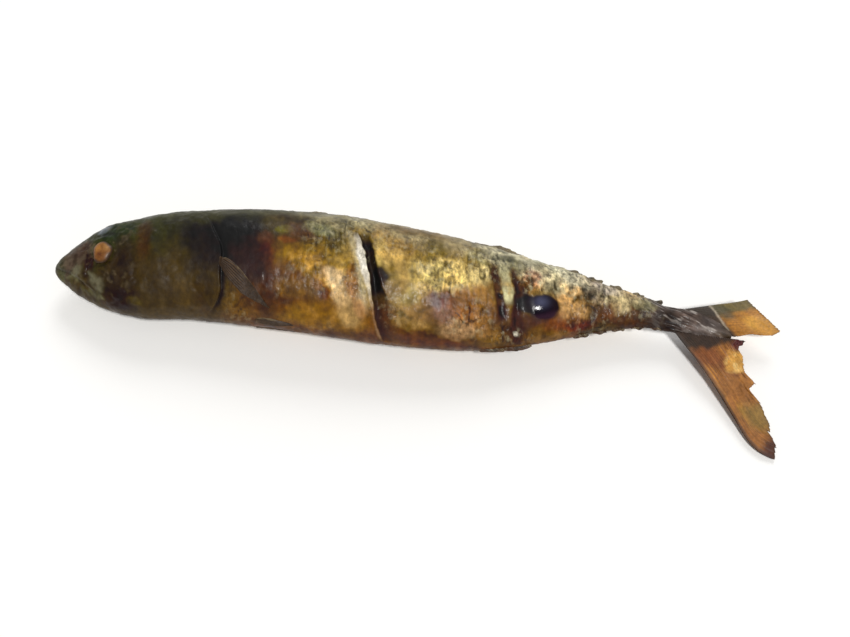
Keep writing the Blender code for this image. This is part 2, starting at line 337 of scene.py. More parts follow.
def cut_line(cut, side):
    """The station of a cut at an angle: straight from back to belly, with a bow towards the tail."""
    low, high = np.radians(cut["phi"])
    share = np.clip((side - low) / (high - low), 0, 1)
    return cut["s"][0] + (cut["s"][1] - cut["s"][0]) * share + cut["bow"] * np.sin(math.pi * share)


# ---------------------------------------------------------------- the skin's relief, in mm
def opening(share, sharp=0.45):
    """How far a cut gapes: 0 at both ends and 1 along its middle."""
    return np.sin(math.pi * np.clip(share, 0, 1)) ** sharp


def front_cut_zones(p):
    """The front cut: a strip of bared flesh, and beside it a gap that widens and closes lower down."""
    x, share = p.along_cut(FRONT_CUT)
    x = x + 0.35 * noise(p.points, 6, 21) + 0.25 * noise(p.points, 1.6, 25)
    gape = opening(share, 0.35)
    centre = 0.3 * ramp(share, 0.4, 0.9) - 1.6 + 1.5 * ramp(share, 0.25, 0.52)
    width = 0.45 + 1.25 * hill(share - 0.27, 0.24) + 0.25 * noise(p.points, 3, 26)
    strip = ramp(np.abs(x - centre), width + 0.8, width - 0.6)
    into_gap = x - centre - width  # distance behind the strip's edge
    gap_width = 3.9 + 0.5 * hill(share - 0.15, 0.2) + 1.9 * ramp(share, 0.35, 0.6) * ramp(share, 1, 0.9)
    soft = 0.7 + 2.0 * ramp(share, 0.4, 0.6)
    gap = ramp(into_gap, -0.3, 0.35) * ramp(into_gap, gap_width + soft, gap_width - 0.4)
    return into_gap, share, gape, gape * strip * (1 - gap), gape * gap


def rear_cut_zones(p):
    """The rear cut: flesh bulging between two grooves, of which the rear one runs into a hollow."""
    x, share = p.along_cut(REAR_CUT)
    x = x + 0.7 * noise(p.points, 5, 22) + 0.3 * noise(p.points, 1.6, 28)
    gape = opening(share, 0.35)
    broken = ramp(layered(p.points, 4, 23), -0.75, -0.15)
    first = hill(x + 4.6, 2.3) * ramp(share, 0.66, 0.50) * broken
    line = np.interp(share, (0, 0.30, 0.62, 0.80, 1), (4.9, 3.7, 1.4, 0.4, 0.0))
    second = hill(x - line, 2.0 + 1.6 * hill(share - 0.66, 0.12))
    flesh = ramp(np.abs(x + 0.3), 3.0, 1.7) * ramp(share, 0.44, 0.36)
    return x, share, gape, gape * flesh * (1 - second), gape * np.maximum(first, second)


def cut_relief(p):
    x, share, gape, strip, gap = front_cut_zones(p)
    lip = hill(x - 4.2, 1.4) * 0.35 * ramp(share, 0.6, 0.4)
    relief = gape * lip - strip * (0.45 + 0.25 * noise(p.points, 2.4, 29))
    relief = relief - gap * hill(x - 2.0, 2.3) * (3.0 - 1.6 * ramp(share, 0.45, 0.65))
    x, share, gape, flesh, dark = rear_cut_zones(p)
    lips = 0.15 * (hill(x - 6.8, 1.6) + hill(x + 7.2, 1.6)) * ramp(share, 0.8, 0.6)
    return relief + gape * lips - 0.75 * dark - flesh * (0.25 - 0.45 * layered(p.points, 2.4, 24))


def gill_relief(p):
    """The gill cover stands a millimetre proud of the trunk behind it."""
    x, share = p.along_cut(GILL)
    x = x + 0.8 * noise(p.points, 9, 33)
    held = ramp(share, -0.05, 0.14) * ramp(share, 1.05, 0.86)
    cover = np.exp(np.minimum(x, 0) / 9) * ramp(x, 0.3, -0.6)
    behind = np.exp(-np.maximum(x, 0) / 2.2) * ramp(x, -0.6, 0.3)
    return held * (0.85 * cover - 0.65 * behind)


def mouth_line(s):
    """The angle of the parted jaws at each station, from the snout down to the corner."""
    return np.radians(98 + 47 * np.clip(s / 0.064, 0, 1) ** 0.85)


def head_relief(p):
    """The mouth, jaw bones, nostrils, eye sockets and the bones of the gill cover."""
    corner = ramp(p.s, 0.068, 0.058)
    y = (p.side - mouth_line(p.s)) * p.reach + 0.4 * noise(p.points, 4, 34)
    relief = corner * (0.30 * hill(y + 2.0, 1.1) - 0.60 * hill(y, 0.7))
    relief = relief - 0.25 * corner * ramp(y, 0.2, 1.4) * ramp(y, 9, 4)
    for side in (1, -1):
        x, y = p.offset(EYE_STATION, side * math.degrees(EYE_ANGLE))
        r = np.hypot(x, y)
        relief = relief - 1.5 * hill(r, 4.6) ** 2 + 0.30 * hill(r - 6.2, 1.0)
        relief = relief + 0.22 * p.stroke((0.034, side * 106), (0.048, side * 131), 1.7, 1.0)
        relief = relief + 0.25 * p.stroke((0.060, side * 108), (0.075, side * 139), 1.9, 1.0)
        relief = relief - 0.35 * p.stroke((0.052, side * 104), (0.066, side * 136), 1.0, 1.0)
        relief = relief - 0.60 * p.spot(0.051, side * 91, 1.6, 2.0, ragged=0.4)
        relief = relief - 0.50 * p.spot(0.043, side * 66, 0.9, 0.6, ragged=0.1)
        relief = relief - 0.32 * p.stroke((0.110, side * 62), (0.126, side * 120), 1.7, 1.2)
        relief = relief - 0.30 * p.stroke((0.126, side * 118), (0.092, side * 158), 1.5, 1.2)
        relief = relief + 0.30 * p.stroke((0.143, side * 66), (0.158, side * 124), 2.6, 1.2)
        relief = relief - 0.22 * p.stroke((0.166, side * 92), (0.214, side * 134), 1.8, 1.2)
    jowl = ramp(p.s, 0.01, 0.04) * ramp(p.s, 0.18, 0.12) * ramp(p.side, math.radians(100), math.radians(150))
    relief = relief + 1.4 * jowl
    skull = hill((p.s - 0.078) / 0.016, 1) * ramp(p.side, math.radians(46), math.radians(30))
    skin_folds = 0.26 * layered(p.points, 4.5, 35) + 0.16 * layered(p.points, 1.8, 36, 2)
    return relief + 0.45 * skull + skin_folds * ramp(p.s, 0.26, 0.20)


def stalk_relief(p):
    """Lengthwise keels on the tail stalk, which fan out towards the two lobes."""
    on = ramp(p.s, 0.81, 0.90)
    keel = hill((p.side - math.radians(92)) * p.reach, 1.3)
    away = p.points - SHIFT
    turned = np.stack([away[..., 0], away[..., 1] + 0.42 * away[..., 0], away[..., 2]], -1)
    waist = hill((p.s - 0.893) / 0.020, 1) * ramp(p.side, math.radians(80), math.radians(35))
    return on * (0.55 * keel + 0.5 * layered(turned, (18, 1.7, 1.7), 31, 2)) - 1.3 * waist


CRINKLED = (  # station, angle, half length and height in mm, strength
    (0.380, 66, 16, 9, 0.8), (0.420, 48, 10, 6, 0.7), (0.545, 84, 15, 9, 1.0), (0.350, 90, 12, 9, 0.6),
    (0.610, 60, 14, 9, 0.9), (0.675, 74, 9, 8, 1.0), (0.730, 60, 16, 8, 1.0), (0.780, 64, 13, 8, 1.0),
    (0.830, 80, 12, 9, 0.7), (0.80, 28, 28, 5, 1.0), (0.410, 112, 12, 8, 0.6), (0.590, 128, 12, 10, 0.7), (0.740, 98, 9, 7, 0.7),
    (0.760, 140, 16, 6, 0.7), (0.480, 130, 10, 9, 0.5), (0.650, 150, 12, 6, 0.8), (0.500, 62, 14, 8, 0.6),
    (0.350, -70, 22, 10, 0.9), (0.560, -100, 26, 12, 0.8), (0.700, -60, 16, 7, 0.9), (0.780, -90, 16, 9, 0.8),
)


def crinkle_mask(p):
    """Where the skin has shrunk into fine folds over the fire."""
    mask = 0.25 + 0.35 * ramp(layered(p.points, 22, 40), -0.1, 0.5)
    for station, degrees, length, height, strength in CRINKLED:
        mask = np.maximum(mask, strength * p.spot(station, degrees, length, height, soft=0.6, ragged=1.8))
    return mask * ramp(p.s, 0.18, 0.30) * ramp(p.s, 0.92, 0.86) * (1 - 0.8 * shoulder_mask(p))


def shoulder_mask(p):
    """The smooth, blackened skin behind the head."""
    return p.spot(0.262, 64, 27, 21, tilt=8, soft=0.3, ragged=1.6)


def blister_mask(p):
    """A tight, shiny blister behind the rear cut on the left flank."""
    round_part = p.spot(0.694, 107, 8.0, 4.3, tilt=3, soft=0.18, ragged=0.5)
    return np.maximum(round_part, p.spot(0.673, 105, 5.5, 3.2, tilt=8, soft=0.3, ragged=0.5))


def skin_relief(p):
    """All the skin's relief: broad unevenness, wrinkles, folds, bones, cuts and the blister."""
    trunk = ramp(p.s, 0.22, 0.30) * ramp(p.s, 0.93, 0.86)
    slim = ramp(p.reach, 2.0, 14) * 0.85 + 0.15
    crinkle = crinkle_mask(p)
    relief = slim * (0.50 * layered(p.points, 30, 11) + 0.24 * layered(p.points, 9, 12))
    wrinkles = layered(p.points, (2.0, 9, 9), 13, 2)
    folds = ridged(p.points, (3.0, 5.2, 5.2), 15)
    fine = ridged(p.points, (1.9, 2.8, 2.8), 16, 1)
    relief = relief + trunk * ramp(p.reach, 9, 18) * (0.12 + 0.12 * crinkle) * wrinkles
    relief = relief + slim * crinkle * (0.42 * (folds - 0.5) + 0.26 * (fine - 0.5))
    puckers = ridged(p.points, (5.0, 7.5, 7.5), 19)
    relief = relief + slim * crinkle**2 * 0.75 * (puckers - 0.5)
    relief = relief + 0.05 * noise(p.points, 1.3, 17)
    ridge = ramp(p.side, math.radians(36), math.radians(14)) * ramp(p.s, 0.56, 0.60) * ramp(p.s, 0.885, 0.865)
    relief = relief + ridge * 1.8 * np.clip(layered(p.points, 5.0, 18), -0.30, 1)
    blister = blister_mask(p)
    x, y = p.offset(0.701, 104)
    dome = np.clip(1 - np.hypot(x / 7.5, y / 6.0) ** 2, 0, 1)
    relief = relief * (1 - 0.9 * blister) + blister * (0.10 + 1.25 * dome)
    relief = relief + 0.10 * p.spot(0.468, 97, 3.4, 2.6) - 0.30 * p.spot(0.390, 122.5, 2.0, 2.4)
    relief = relief + cut_relief(p) + gill_relief(p) + head_relief(p) + stalk_relief(p)
    height = (0.30 * puckers + 0.40 * folds + 0.30 * fine) * crinkle + 0.15 * (1 - crinkle) * (wrinkles + 1)
    return relief * ramp(p.s, -0.002, 0.010), height, crinkle


# ---------------------------------------------------------------- the skin's colours
# Fields and stains: station, angle, half length and height in mm, tilt, colour, strength
FIELDS = (
    # the head
    (0.03, 80, 17, 50, 0, "#4b4031", 1.0),
    (0.10, 90, 22, 60, 0, "#3b301f", 1.0),
    (0.19, 90, 25, 60, 0, "#3c3120", 0.95),
    (0.09, 36, 22, 13, 0, "#343824", 0.9),
    (0.19, 30, 30, 20, 0, "#35351f", 0.9),
    # the shoulder, blackened by smoke
    (0.262, 64, 27, 22, 8, "#17130d", 0.97),
    (0.300, 24, 42, 12, 0, "#403f2c", 0.9),
    (0.300, 112, 11, 15, 15, "#3d220f", 0.85),
    (0.330, 142, 16, 12, 0, "#60411b", 0.8),
    # from the shoulder to the front cut
    (0.335, 60, 14, 9, 0, "#3d3420", 0.92),
    (0.345, 86, 9, 7, 0, "#6e511f", 0.85),
    (0.372, 100, 15, 10, 0, "#a8853f", 0.9),
    (0.362, 62, 15, 10, 0, "#3e3320", 0.9),
    (0.424, 68, 7, 7, 0, "#6e5c36", 0.8),
    (0.350, 122, 10, 7, 0, "#583b18", 0.85),
    (0.380, 148, 18, 7, 0, "#89642f", 0.7),
    (0.400, 60, 13, 6, 0, "#5c4e2d", 0.85),
    (0.405, 38, 20, 7, 0, "#a09672", 0.75),
    # between the cuts
    (0.508, 91, 21, 8, 0, "#c9ad66", 0.9),
    (0.470, 112, 8, 7, 0, "#ab9059", 0.7),
    (0.51, 60, 26, 6, 0, "#856d38", 0.85),
    (0.53, 38, 28, 8, 0, "#9d8d69", 0.8),
    (0.483, 142, 10, 8, 0, "#583a1c", 0.8),
    (0.520, 134, 11, 6, 0, "#997b49", 0.8),
    (0.560, 118, 14, 9, 0, "#85603b", 0.85),
    (0.612, 106, 8, 14, 0, "#96693b", 0.75),
    # darker towards the lower edge: partly the skin's own brown, partly painted shade
    (0.540, 160, 28, 6, 0, "#4d2c10", 0.85),
    (0.622, 58, 11, 9, 0, "#706a48", 0.85),
    (0.632, 112, 6, 9, 0, "#53371f", 0.85),
    # behind the rear cut
    # pale grey-green over the upper flank: partly the skin's own colour, partly painted sheen
    (0.690, 42, 24, 10, 6, "#c2bb9c", 0.95),
    (0.722, 68, 13, 7, 6, "#ad9f7b", 0.85),
    (0.738, 104, 8.5, 7.0, 0, "#e0b67c", 1.0),
    (0.740, 134, 26, 8, 6, "#44281a", 0.95),
    (0.685, 150, 16, 7, 0, "#674d2c", 0.8),
    (0.778, 76, 9, 7, 8, "#5b4a3b", 0.85),
    (0.805, 50, 20, 6, 0, "#9a8c76", 0.8),
    (0.818, 80, 11, 5.5, 0, "#a89770", 0.95),
    (0.820, 130, 18, 9, 0, "#493121", 0.95),
    (0.897, 90, 15, 30, 0, "#332b29", 0.97),
    (0.960, 90, 22, 30, 0, "#2f2825", 0.95),
)
STAINS = (
    (0.039, 70, 4.5, 5, 0, "#45302a", 0.7),
    (0.020, 75, 3, 6, 0, "#57493f", 0.6),
    (0.052, 91, 2.4, 3.0, 0, "#2a120d", 0.95),
    (0.054, 99, 2.4, 2.2, 0, "#33211e", 0.6),
    (0.026, 84, 5, 6, 0, "#524740", 0.5),
    (0.008, 100, 3, 8, 0, "#4f5440", 0.6),
    # painted highlight: a bluish grey glint on top of the head, above the eye
    (0.071, 37, 3.6, 2.4, 0, "#8a9098", 0.75),
    (0.095, 52, 8, 5, 0, "#262f1a", 0.8),
    (0.104, 84, 4, 8, 0, "#2b2318", 0.7),
    (0.102, 117, 7, 9, 0, "#2f2517", 0.7),
    (0.112, 142, 6, 5, 0, "#281d0c", 0.75),
    (0.120, 146, 3.0, 2.6, 0, "#5d5234", 0.6),
    (0.133, 68, 3.5, 9, 0, "#4a301d", 0.55),
    (0.090, 152, 10, 6, 0, "#291d10", 0.75),
    (0.262, 58, 10, 7, 0, "#0f0e0b", 0.7),
    (0.299, 75, 3.6, 3.2, 0, "#5c3d34", 0.5),
    (0.303, 94, 2.8, 6, -8, "#4a241a", 0.5),
    (0.308, 122, 5, 7, 10, "#2b180c", 0.6),
    (0.278, 102, 9, 10, 0, "#251a10", 0.8),
    (0.310, 134, 12, 7, 0, "#4a3216", 0.7),
    (0.324, 64, 3.6, 2.2, 0, "#6f6a2b", 0.65),
    (0.328, 76, 3.4, 1.6, 0, "#7d4824", 0.5),
    (0.330, 116, 8, 9, 0, "#4a2e13", 0.75),
    (0.392, 130, 5, 4.5, 0, "#5d4020", 0.7),
    (0.345, 66, 7, 4, 20, "#5a3c2c", 0.6),
    (0.372, 60, 7, 3, 10, "#8f8c66", 0.6),
    (0.377, 103, 2.0, 1.8, 0, "#5a4a20", 0.7),
    (0.398, 107, 5.5, 3.2, 35, "#cbb08a", 0.7),
    (0.413, 118, 4.5, 7.5, -25, "#caa978", 0.7),
    (0.428, 143, 4.5, 5, -20, "#bd9a62", 0.7),
    (0.390, 122.5, 2.4, 2.9, 0, "#4c2a18", 0.9),
    (0.383, 117, 3.4, 1.8, 30, "#6b4523", 0.6),
    (0.424, 108, 2.6, 6.0, -15, "#a4683a", 0.65),
    (0.424, 97, 1.5, 1.8, 0, "#4d3217", 0.8),
    (0.438, 128, 2.4, 6.0, -20, "#b98a5c", 0.6),
    (0.341, 120, 7, 4, 0, "#735628", 0.5),
    (0.464, 97, 3.9, 3.4, 0, "#17131a", 0.97),
    (0.461, 106, 3.0, 4.0, 0, "#2c1a16", 0.8),
    (0.503, 36, 15, 4, 0, "#685333", 0.7),
    (0.535, 58, 5.5, 4.0, 0, "#5f5127", 0.7),
    # pale gold over the crinkled skin: partly the skin's own gold, partly painted highlights
    (0.552, 86, 11, 6.5, 0, "#c7b073", 0.6),
    (0.543, 83, 1.0, 4.0, 20, "#3b2a14", 0.6),
    # pale over the upper flank: partly the skin's own colour, partly painted sheen
    (0.616, 33, 9, 3, 0, "#c0b694", 0.7),
    (0.636, 29, 3.4, 2.4, 0, "#43422f", 0.8),
    (0.551, 110, 6.0, 4.6, 0, "#4b3132", 0.9),
    (0.557, 125, 4.5, 4.0, 0, "#87655a", 0.65),
    (0.578, 112, 6, 5, 20, "#8f5f38", 0.6),
    (0.498, 129, 2.2, 1.8, 0, "#4f4322", 0.7),
    (0.576, 142, 8, 4.5, 0, "#b08f68", 0.75),
    (0.660, 96, 3.0, 5.0, 0, "#38221a", 0.85),
    (0.676, 74, 5, 4.5, 0, "#8f5f48", 0.75),
    (0.655, 60, 4, 5, 0, "#938b66", 0.65),
    (0.630, 94, 4.5, 5, 0, "#a58b55", 0.6),
    (0.597, 79, 5.5, 4, 0, "#d6c083", 0.65),
    (0.644, 48, 4.5, 2.2, 0, "#3d3f2c", 0.7),
    (0.632, 160, 12, 4, 0, "#5a4526", 0.7),
    (0.657, 148, 6, 6, 0, "#4a3320", 0.7),
    (0.736, 106, 9, 5.5, 0, "#c99c62", 0.95),
    (0.744, 136, 9, 3.6, 8, "#48201a", 0.8),
    (0.712, 132, 5, 4, 0, "#6a3d28", 0.7),
    (0.787, 166, 10, 4, 0, "#3b3220", 0.8),
    (0.762, 70, 3.6, 3, 0, "#4b4238", 0.8),
    (0.786, 62, 3.0, 3, 0, "#453b33", 0.7),
    (0.846, 64, 5, 3, 0, "#8c8868", 0.6),
    (0.812, 86, 4.5, 3.6, 0, "#c3b184", 0.75),
    (0.932, 74, 10, 5, 0, "#5f5652", 0.6),
    # pale over the upper rear flank: partly the skin's own colour, partly painted sheen
    (0.736, 44, 11, 4, 4, "#cdc7aa", 0.6),
    (0.792, 48, 6, 3, 4, "#c0b4a4", 0.6),
    (0.480, -80, 14, 7, 0, "#5c3f20", 0.6),
    (0.620, -110, 12, 8, 0, "#6b4526", 0.6),
    (0.350, -120, 16, 8, 0, "#9d7a3d", 0.6),
    (0.280, -80, 20, 16, 0, "#2a2116", 0.8),
)


def lay(tone, colour, weight):
    return tone + (linear(colour) - tone) * weight[..., None]


def lay_spots(p, tone, spots, soft, ragged):
    """Lays each spot's colour down; the head and the tail stalk are alike on both flanks."""
    for station, degrees, length, height, tilt, colour, strength in spots:
        weight = p.spot(station, degrees, length, height, tilt, soft, ragged)
        if station < 0.24 or station > 0.84:
            other = p.spot(station, -degrees, length, height, -tilt, soft, ragged)
            weight = np.maximum(weight, other)
        tone = lay(tone, colour, strength * weight)
    return tone


def flank_tone(p):
    """Gold along the flanks, olive above and brown below, darkest along the belly's edge, which is partly painted
    shade.
    """
    tone = np.broadcast_to(linear("#a58a4d"), p.s.shape + (3,)).copy()
    high, low = np.radians((62, 118))
    drift = 0.25 * layered(p.points, 18, 50)
    tone = lay(tone, "#8d8058", ramp(p.side + drift, high + 0.25, high - 0.25))
    tone = lay(tone, "#6d6444", ramp(p.side + drift, 0.65, 0.25))
    tone = lay(tone, "#86653a", ramp(p.side + drift, low - 0.25, low + 0.3))
    # the darkest brown along the belly's edge is partly the skin's own colour and partly painted shade
    return lay(tone, "#573a1c", ramp(p.side + drift, math.radians(142), math.radians(168)))


def mottled_tone(p, tone, height, crinkle):
    """Blotches of gold and dark brown, fine streaks across the fish, and painted light and shade on the folds:
    painted shade in their low places and creases, painted highlights on their tops.
    """
    trunk = 0.55 + 0.45 * ramp(p.s, 0.27, 0.33)
    mottle = layered(p.points, (9, 11, 11), 51, 4) + 0.35 * layered(p.points, 3.2, 52, 2)
    tone = tone * (1 + trunk * 0.75 * np.clip(mottle, -0.8, 0.9))[..., None]
    rusty = ramp(layered(p.points, 12, 53, 3), 0.15, 0.6) * trunk * 0.30
    tone = tone * (1 + rusty[..., None] * np.array([0.10, -0.22, -0.40]))
    mossy = ramp(layered(p.points, 10, 54, 3), 0.2, 0.6) * trunk * 0.30
    tone = tone * (1 + mossy[..., None] * np.array([-0.25, -0.08, -0.15]))
    streaks = layered(p.points, (1.5, 7, 7), 61, 2) * ramp(noise(p.points, 12, 60), -0.7, 0.3)
    flecks = layered(p.points, 1.8, 62, 2)
    tone = tone * (1 + trunk * (0.30 * streaks + 0.35 * flecks))[..., None]
    # painted light and shade: lighter on the tops of the folds, darker in their low places
    tone = tone * (1 + crinkle * 1.7 * (height - 0.42))[..., None]
    # painted shade: dark lines along creases in the crinkled skin
    bend = 1.5 * np.stack([noise(p.points, 5, 64), noise(p.points, 5, 65), noise(p.points, 5, 66)], -1)
    lines = ridged(p.points + bend * MM, (4, 6, 6), 67, 1)
    crease_shade = ramp(lines, 0.76, 0.95) * ramp(noise(p.points, 6, 68), -0.35, 0.15)
    tone = tone * (1 - 0.80 * ramp(crinkle, 0.2, 0.7) * crease_shade)[..., None]
    # painted highlights: pale flecks on the tops of the folds
    pale = crinkle * ramp(height, 0.62, 0.95) * ramp(noise(p.points, 3.0, 63), -0.3, 0.5)
    return lay(tone, "#e2d8ae", 0.72 * pale)


def head_tone(p, tone):
    """Pale streaks over the jaw bones, and small blotches of greyish brown and black."""
    head = ramp(p.s, 0.15, 0.09)
    tone = lay(tone, "#655a4c", 0.45 * head * ramp(layered(p.points, 2.8, 84), 0.10, 0.55))
    tone = lay(tone, "#1b150f", 0.50 * head * ramp(layered(p.points, 3.0, 85), 0.10, 0.55))
    for side in (1, -1):
        pale = np.maximum(
            p.stroke((0.033, side * 106), (0.047, side * 131), 1.9, 1.2),
            p.stroke((0.061, side * 110), (0.074, side * 139), 2.3, 1.2),
        )
        lip = np.maximum(p.stroke((0.022, side * 124), (0.050, side * 143), 1.2, 1.6), 0.0)
        lip = np.maximum(lip, p.stroke((0.052, side * 144), (0.074, side * 152), 1.8, 1.6))
        tone = lay(tone, "#6e6b58", 0.75 * pale * ramp(noise(p.points, 3.0, 74), -1.1, 0.2))
        tone = lay(tone, "#6c6a52", 0.75 * lip * ramp(noise(p.points, 2.6, 82), -0.9, 0.3))
        tone = lay(tone, "#2a2017", 0.7 * p.stroke((0.050, side * 108), (0.063, side * 138), 1.0, 1.0))
    corner = ramp(p.s, 0.078, 0.056)
    y = (p.side - mouth_line(p.s)) * p.reach + 0.4 * noise(p.points, 4, 34)
    jaw = corner * ramp(y, 0.2, 1.2) * ramp(noise(p.points, 2.6, 71), -0.3, 0.4)
    tone = lay(tone, "#4d4730", 0.6 * jaw)
    tone = lay(tone, "#2e2416", 0.7 * corner * ramp(y, 1.0, 2.0) * ramp(noise(p.points, 2.2, 75), 0.0, 0.5))
    return lay(tone, "#1b120c", 0.6 * corner * hill(y, 0.7) * ramp(noise(p.points, 3, 83), -0.6, 0.2))


def stalk_tone(p, tone):
    """Silvery ridges run lengthwise over the dark end of the stalk."""
    on = ramp(p.s, 0.84, 0.90)
    away = p.points - SHIFT
    turned = np.stack([away[..., 0], away[..., 1] + 0.42 * away[..., 0], away[..., 2]], -1)
    ridge = layered(turned, (18, 1.7, 1.7), 31, 2)
    tone = tone * (1 + on * 1.1 * np.clip(ridge, -0.7, 0.8))[..., None]
    glint = layered(turned, (8, 1.1, 1.1), 79, 2)
    upper = ramp(p.side, math.radians(112), math.radians(88))
    tone = lay(tone, "#5a524f", 0.6 * on * upper * ramp(noise(p.points, 5, 69), -0.4, 0.4))
    return lay(tone, "#b3aaa3", 0.75 * on * (0.3 + 0.7 * upper) * ramp(glint, 0.15, 0.5))


def cut_tones(p, tone):
    """White flesh and a gap painted black as shade at the front cut, olive flesh between grooves painted dark as
    shade at the rear.
    """
    x, share, gape, strip, gap = front_cut_zones(p)
    stained = gape * ramp(share, 0.30, 0.55) * hill(x - 4.5, 4.0)
    tone = lay(tone, "#584038", 0.65 * stained * ramp(noise(p.points, 3, 76), -0.9, 0.1))
    tone = lay(tone, "#d3c6a0", 0.5 * gape * hill(x + 4.0, 1.4) * ramp(share, 0.75, 0.4))
    low = ramp(share, 0.45, 0.64)
    tone = lay(tone, "#3f261b", 0.85 * gap * low)
    # painted shade: black down the deep upper half of the gap, fading lower down where the gap is shallow
    black = np.clip(gap * 1.5, 0, 1) * (0.97 * (1 - low) + 0.6 * low * hill(x - 1.2, 2.0))
    tone = lay(tone, "#120d0b", black)
    fibres = 0.5 + 0.5 * layered(p.points, (1.4, 5, 5), 72, 2)
    flesh = lay(np.broadcast_to(linear("#ece7db"), tone.shape), "#cdc4b2", ramp(fibres, 0.5, 0.05))
    flesh = flesh + (lay(flesh, "#b48e6c", low) - flesh) * 0.9
    bright = 0.45 + 0.55 * hill(share - 0.24, 0.16) - 0.25 * hill(share - 0.62, 0.15)
    tone = tone + (flesh - tone) * (strip * bright)[..., None]
    x, share, gape, flesh, dark = rear_cut_zones(p)
    tone = lay(tone, "#3b241a", 0.6 * gape * hill(x - 1.0, 5.5) * ramp(share, 0.45, 0.60))
    # painted shade: dark brown and black along the two grooves
    tone = lay(tone, "#38211a", np.clip(dark * 1.7, 0, 0.94))
    tone = lay(tone, "#17100d", 0.9 * ramp(dark, 0.45, 0.95) * ramp(noise(p.points, 3.2, 70), -0.5, 0.2))
    clump = ramp(layered(p.points, 4.5, 73), -0.6, -0.1) * (1 - 0.9 * hill(share - 0.215, 0.035))
    tone = lay(tone, "#b0ab86", flesh * (0.2 + 0.75 * clump))
    tone = lay(tone, "#d6cf9c", flesh * hill(share - 0.32, 0.07) * clump * 0.9)
    # painted highlight: a small white glint on the dark lower end of the rear cut
    return lay(tone, "#e2dcc6", 0.75 * p.spot(0.656, 146, 1.1, 1.3, ragged=0.9))


# painted shadow: a dark band on the trunk just behind the gill cover's edge
def gill_cover_shadow(p, tone):
    x, share = p.along_cut(GILL)
    x = x + 0.8 * noise(p.points, 9, 33)
    held = ramp(share, -0.02, 0.14) * ramp(share, 1.02, 0.86)
    return lay(tone, "#130e0a", 0.85 * held * ramp(x, -0.5, 0.2) * ramp(x, 3.4, 0.8))


def blister_tone(p, tone):
    """Blue black with a painted reflection in paler bluish grey over its upper part, browner towards its lower
    edge, with a rim of burnt skin.
    """
    x, y = p.offset(0.690, 107)
    mask = blister_mask(p)
    tone = lay(tone, "#3a2118", 0.75 * p.spot(0.679, 111, 8.5, 6.2, soft=0.35, ragged=1.2) * (1 - mask))
    tone = lay(tone, "#15121a", 0.98 * mask)
    # painted reflection: paler bluish grey over the upper part of the blister
    tone = lay(tone, "#5a5c72", 0.6 * mask * hill(np.hypot(x - 0.2, (y + 1.6) * 1.7), 3.4))
    return lay(tone, "#3a2a34", 0.7 * mask * ramp(y + x * 0.2, 1.6, 4.2))


def deepened(tone):
    """Oil deepens the skin's colours: darker, and further from grey."""
    grey = (tone @ np.array([0.3, 0.6, 0.1]))[..., None]
    richer = 1.22 - 0.18 * ramp(grey, 0.02, 0.25)
    return np.clip((grey + richer * (tone - grey)) * 1.08 - 0.009, 0.002, 1)


def skin_oil(p):
    """How oily the skin is: wet on the blister, the shoulder and the head, dry where crinkled."""
    oil = 0.40 + 0.35 * layered(p.points, 6, 81)
    oil = oil * (1 - 0.45 * shoulder_mask(p)) * (1 - 0.9 * front_cut_zones(p)[4])
    oil = oil * (1 - 0.9 * rear_cut_zones(p)[4])
    oil = np.maximum(oil, blister_mask(p) * ramp(p.s, 0.674, 0.684))
    return np.clip(oil, 0, 1)


def skin_stations(side):
    """Stations of the grid's rows: closer at the head, the gill covers and the cuts, and slanted
    so that a row runs along each of them."""
    u = np.linspace(0.0008, BODY_END - 0.0006, 6000)
    centres = [(cut, (cut["s"][0] + cut["s"][1]) / 2 + cut["bow"] * 0.6) for cut in (GILL, FRONT_CUT, REAR_CUT)]
    density = 1 + 0.7 * ramp(u, 0.14, 0.10) + 1.4 * ramp(u, 0.012, 0.002)
    for _, centre in centres:
        density = density + 1.5 * hill(u - centre, 0.017)
    total = np.cumsum(density)
    rows = np.interp(np.linspace(total[0], total[-1], SKIN_ROWS), total, u)[:, None]
    slanted = rows + 0 * side
    for cut, centre in centres:
        slanted = slanted + (cut_line(cut, side) - centre) * hill(rows - centre, 0.036)
    return slanted


SKIN_ROWS, SKIN_COLUMNS = 588, 168
SNOUT_DROOP = 2.0 * MM


def skin():
    """The whole skin, head and trunk, as one closed surface over the round body."""
    turn = np.arange(SKIN_COLUMNS) / SKIN_COLUMNS * 2 * math.pi
    phi = (turn + 0.42 * np.sin(math.radians(95) - turn))[None, :]  # closer on the left flank
    side = np.abs((phi + math.pi) % (2 * math.pi) - math.pi)
    p = Place(skin_stations(side), phi)
    relief, height, crinkle = skin_relief(p)
    drooped = axes(p.s)[1] * (SNOUT_DROOP * ramp(p.s, 0.060, 0.0))[..., None]
    points = on_the_floor(p.points + outward(p.s, p.phi) * (relief * MM)[..., None] - drooped)
    tone = lay_spots(p, flank_tone(p), FIELDS, 0.42, 2.4)
    tone = lay_spots(p, tone, STAINS, 0.42, 1.1)
    tone = mottled_tone(p, tone, height, crinkle)
    tone = head_tone(p, tone)
    tone = stalk_tone(p, tone)
    tone = gill_cover_shadow(p, tone)
    tone = cut_tones(p, tone)
    tone = blister_tone(p, tone)
    return piece(
        "skin",
        points,
        tube_faces(*p.s.shape),
        smoked_skin(),
        "skin",
        tone=with_alpha(deepened(tone)).reshape(-1, 4),
        oil=skin_oil(p).ravel(),
        crinkle=(np.maximum(crinkle, 0.2) * (1 - blister_mask(p))).ravel(),
    )


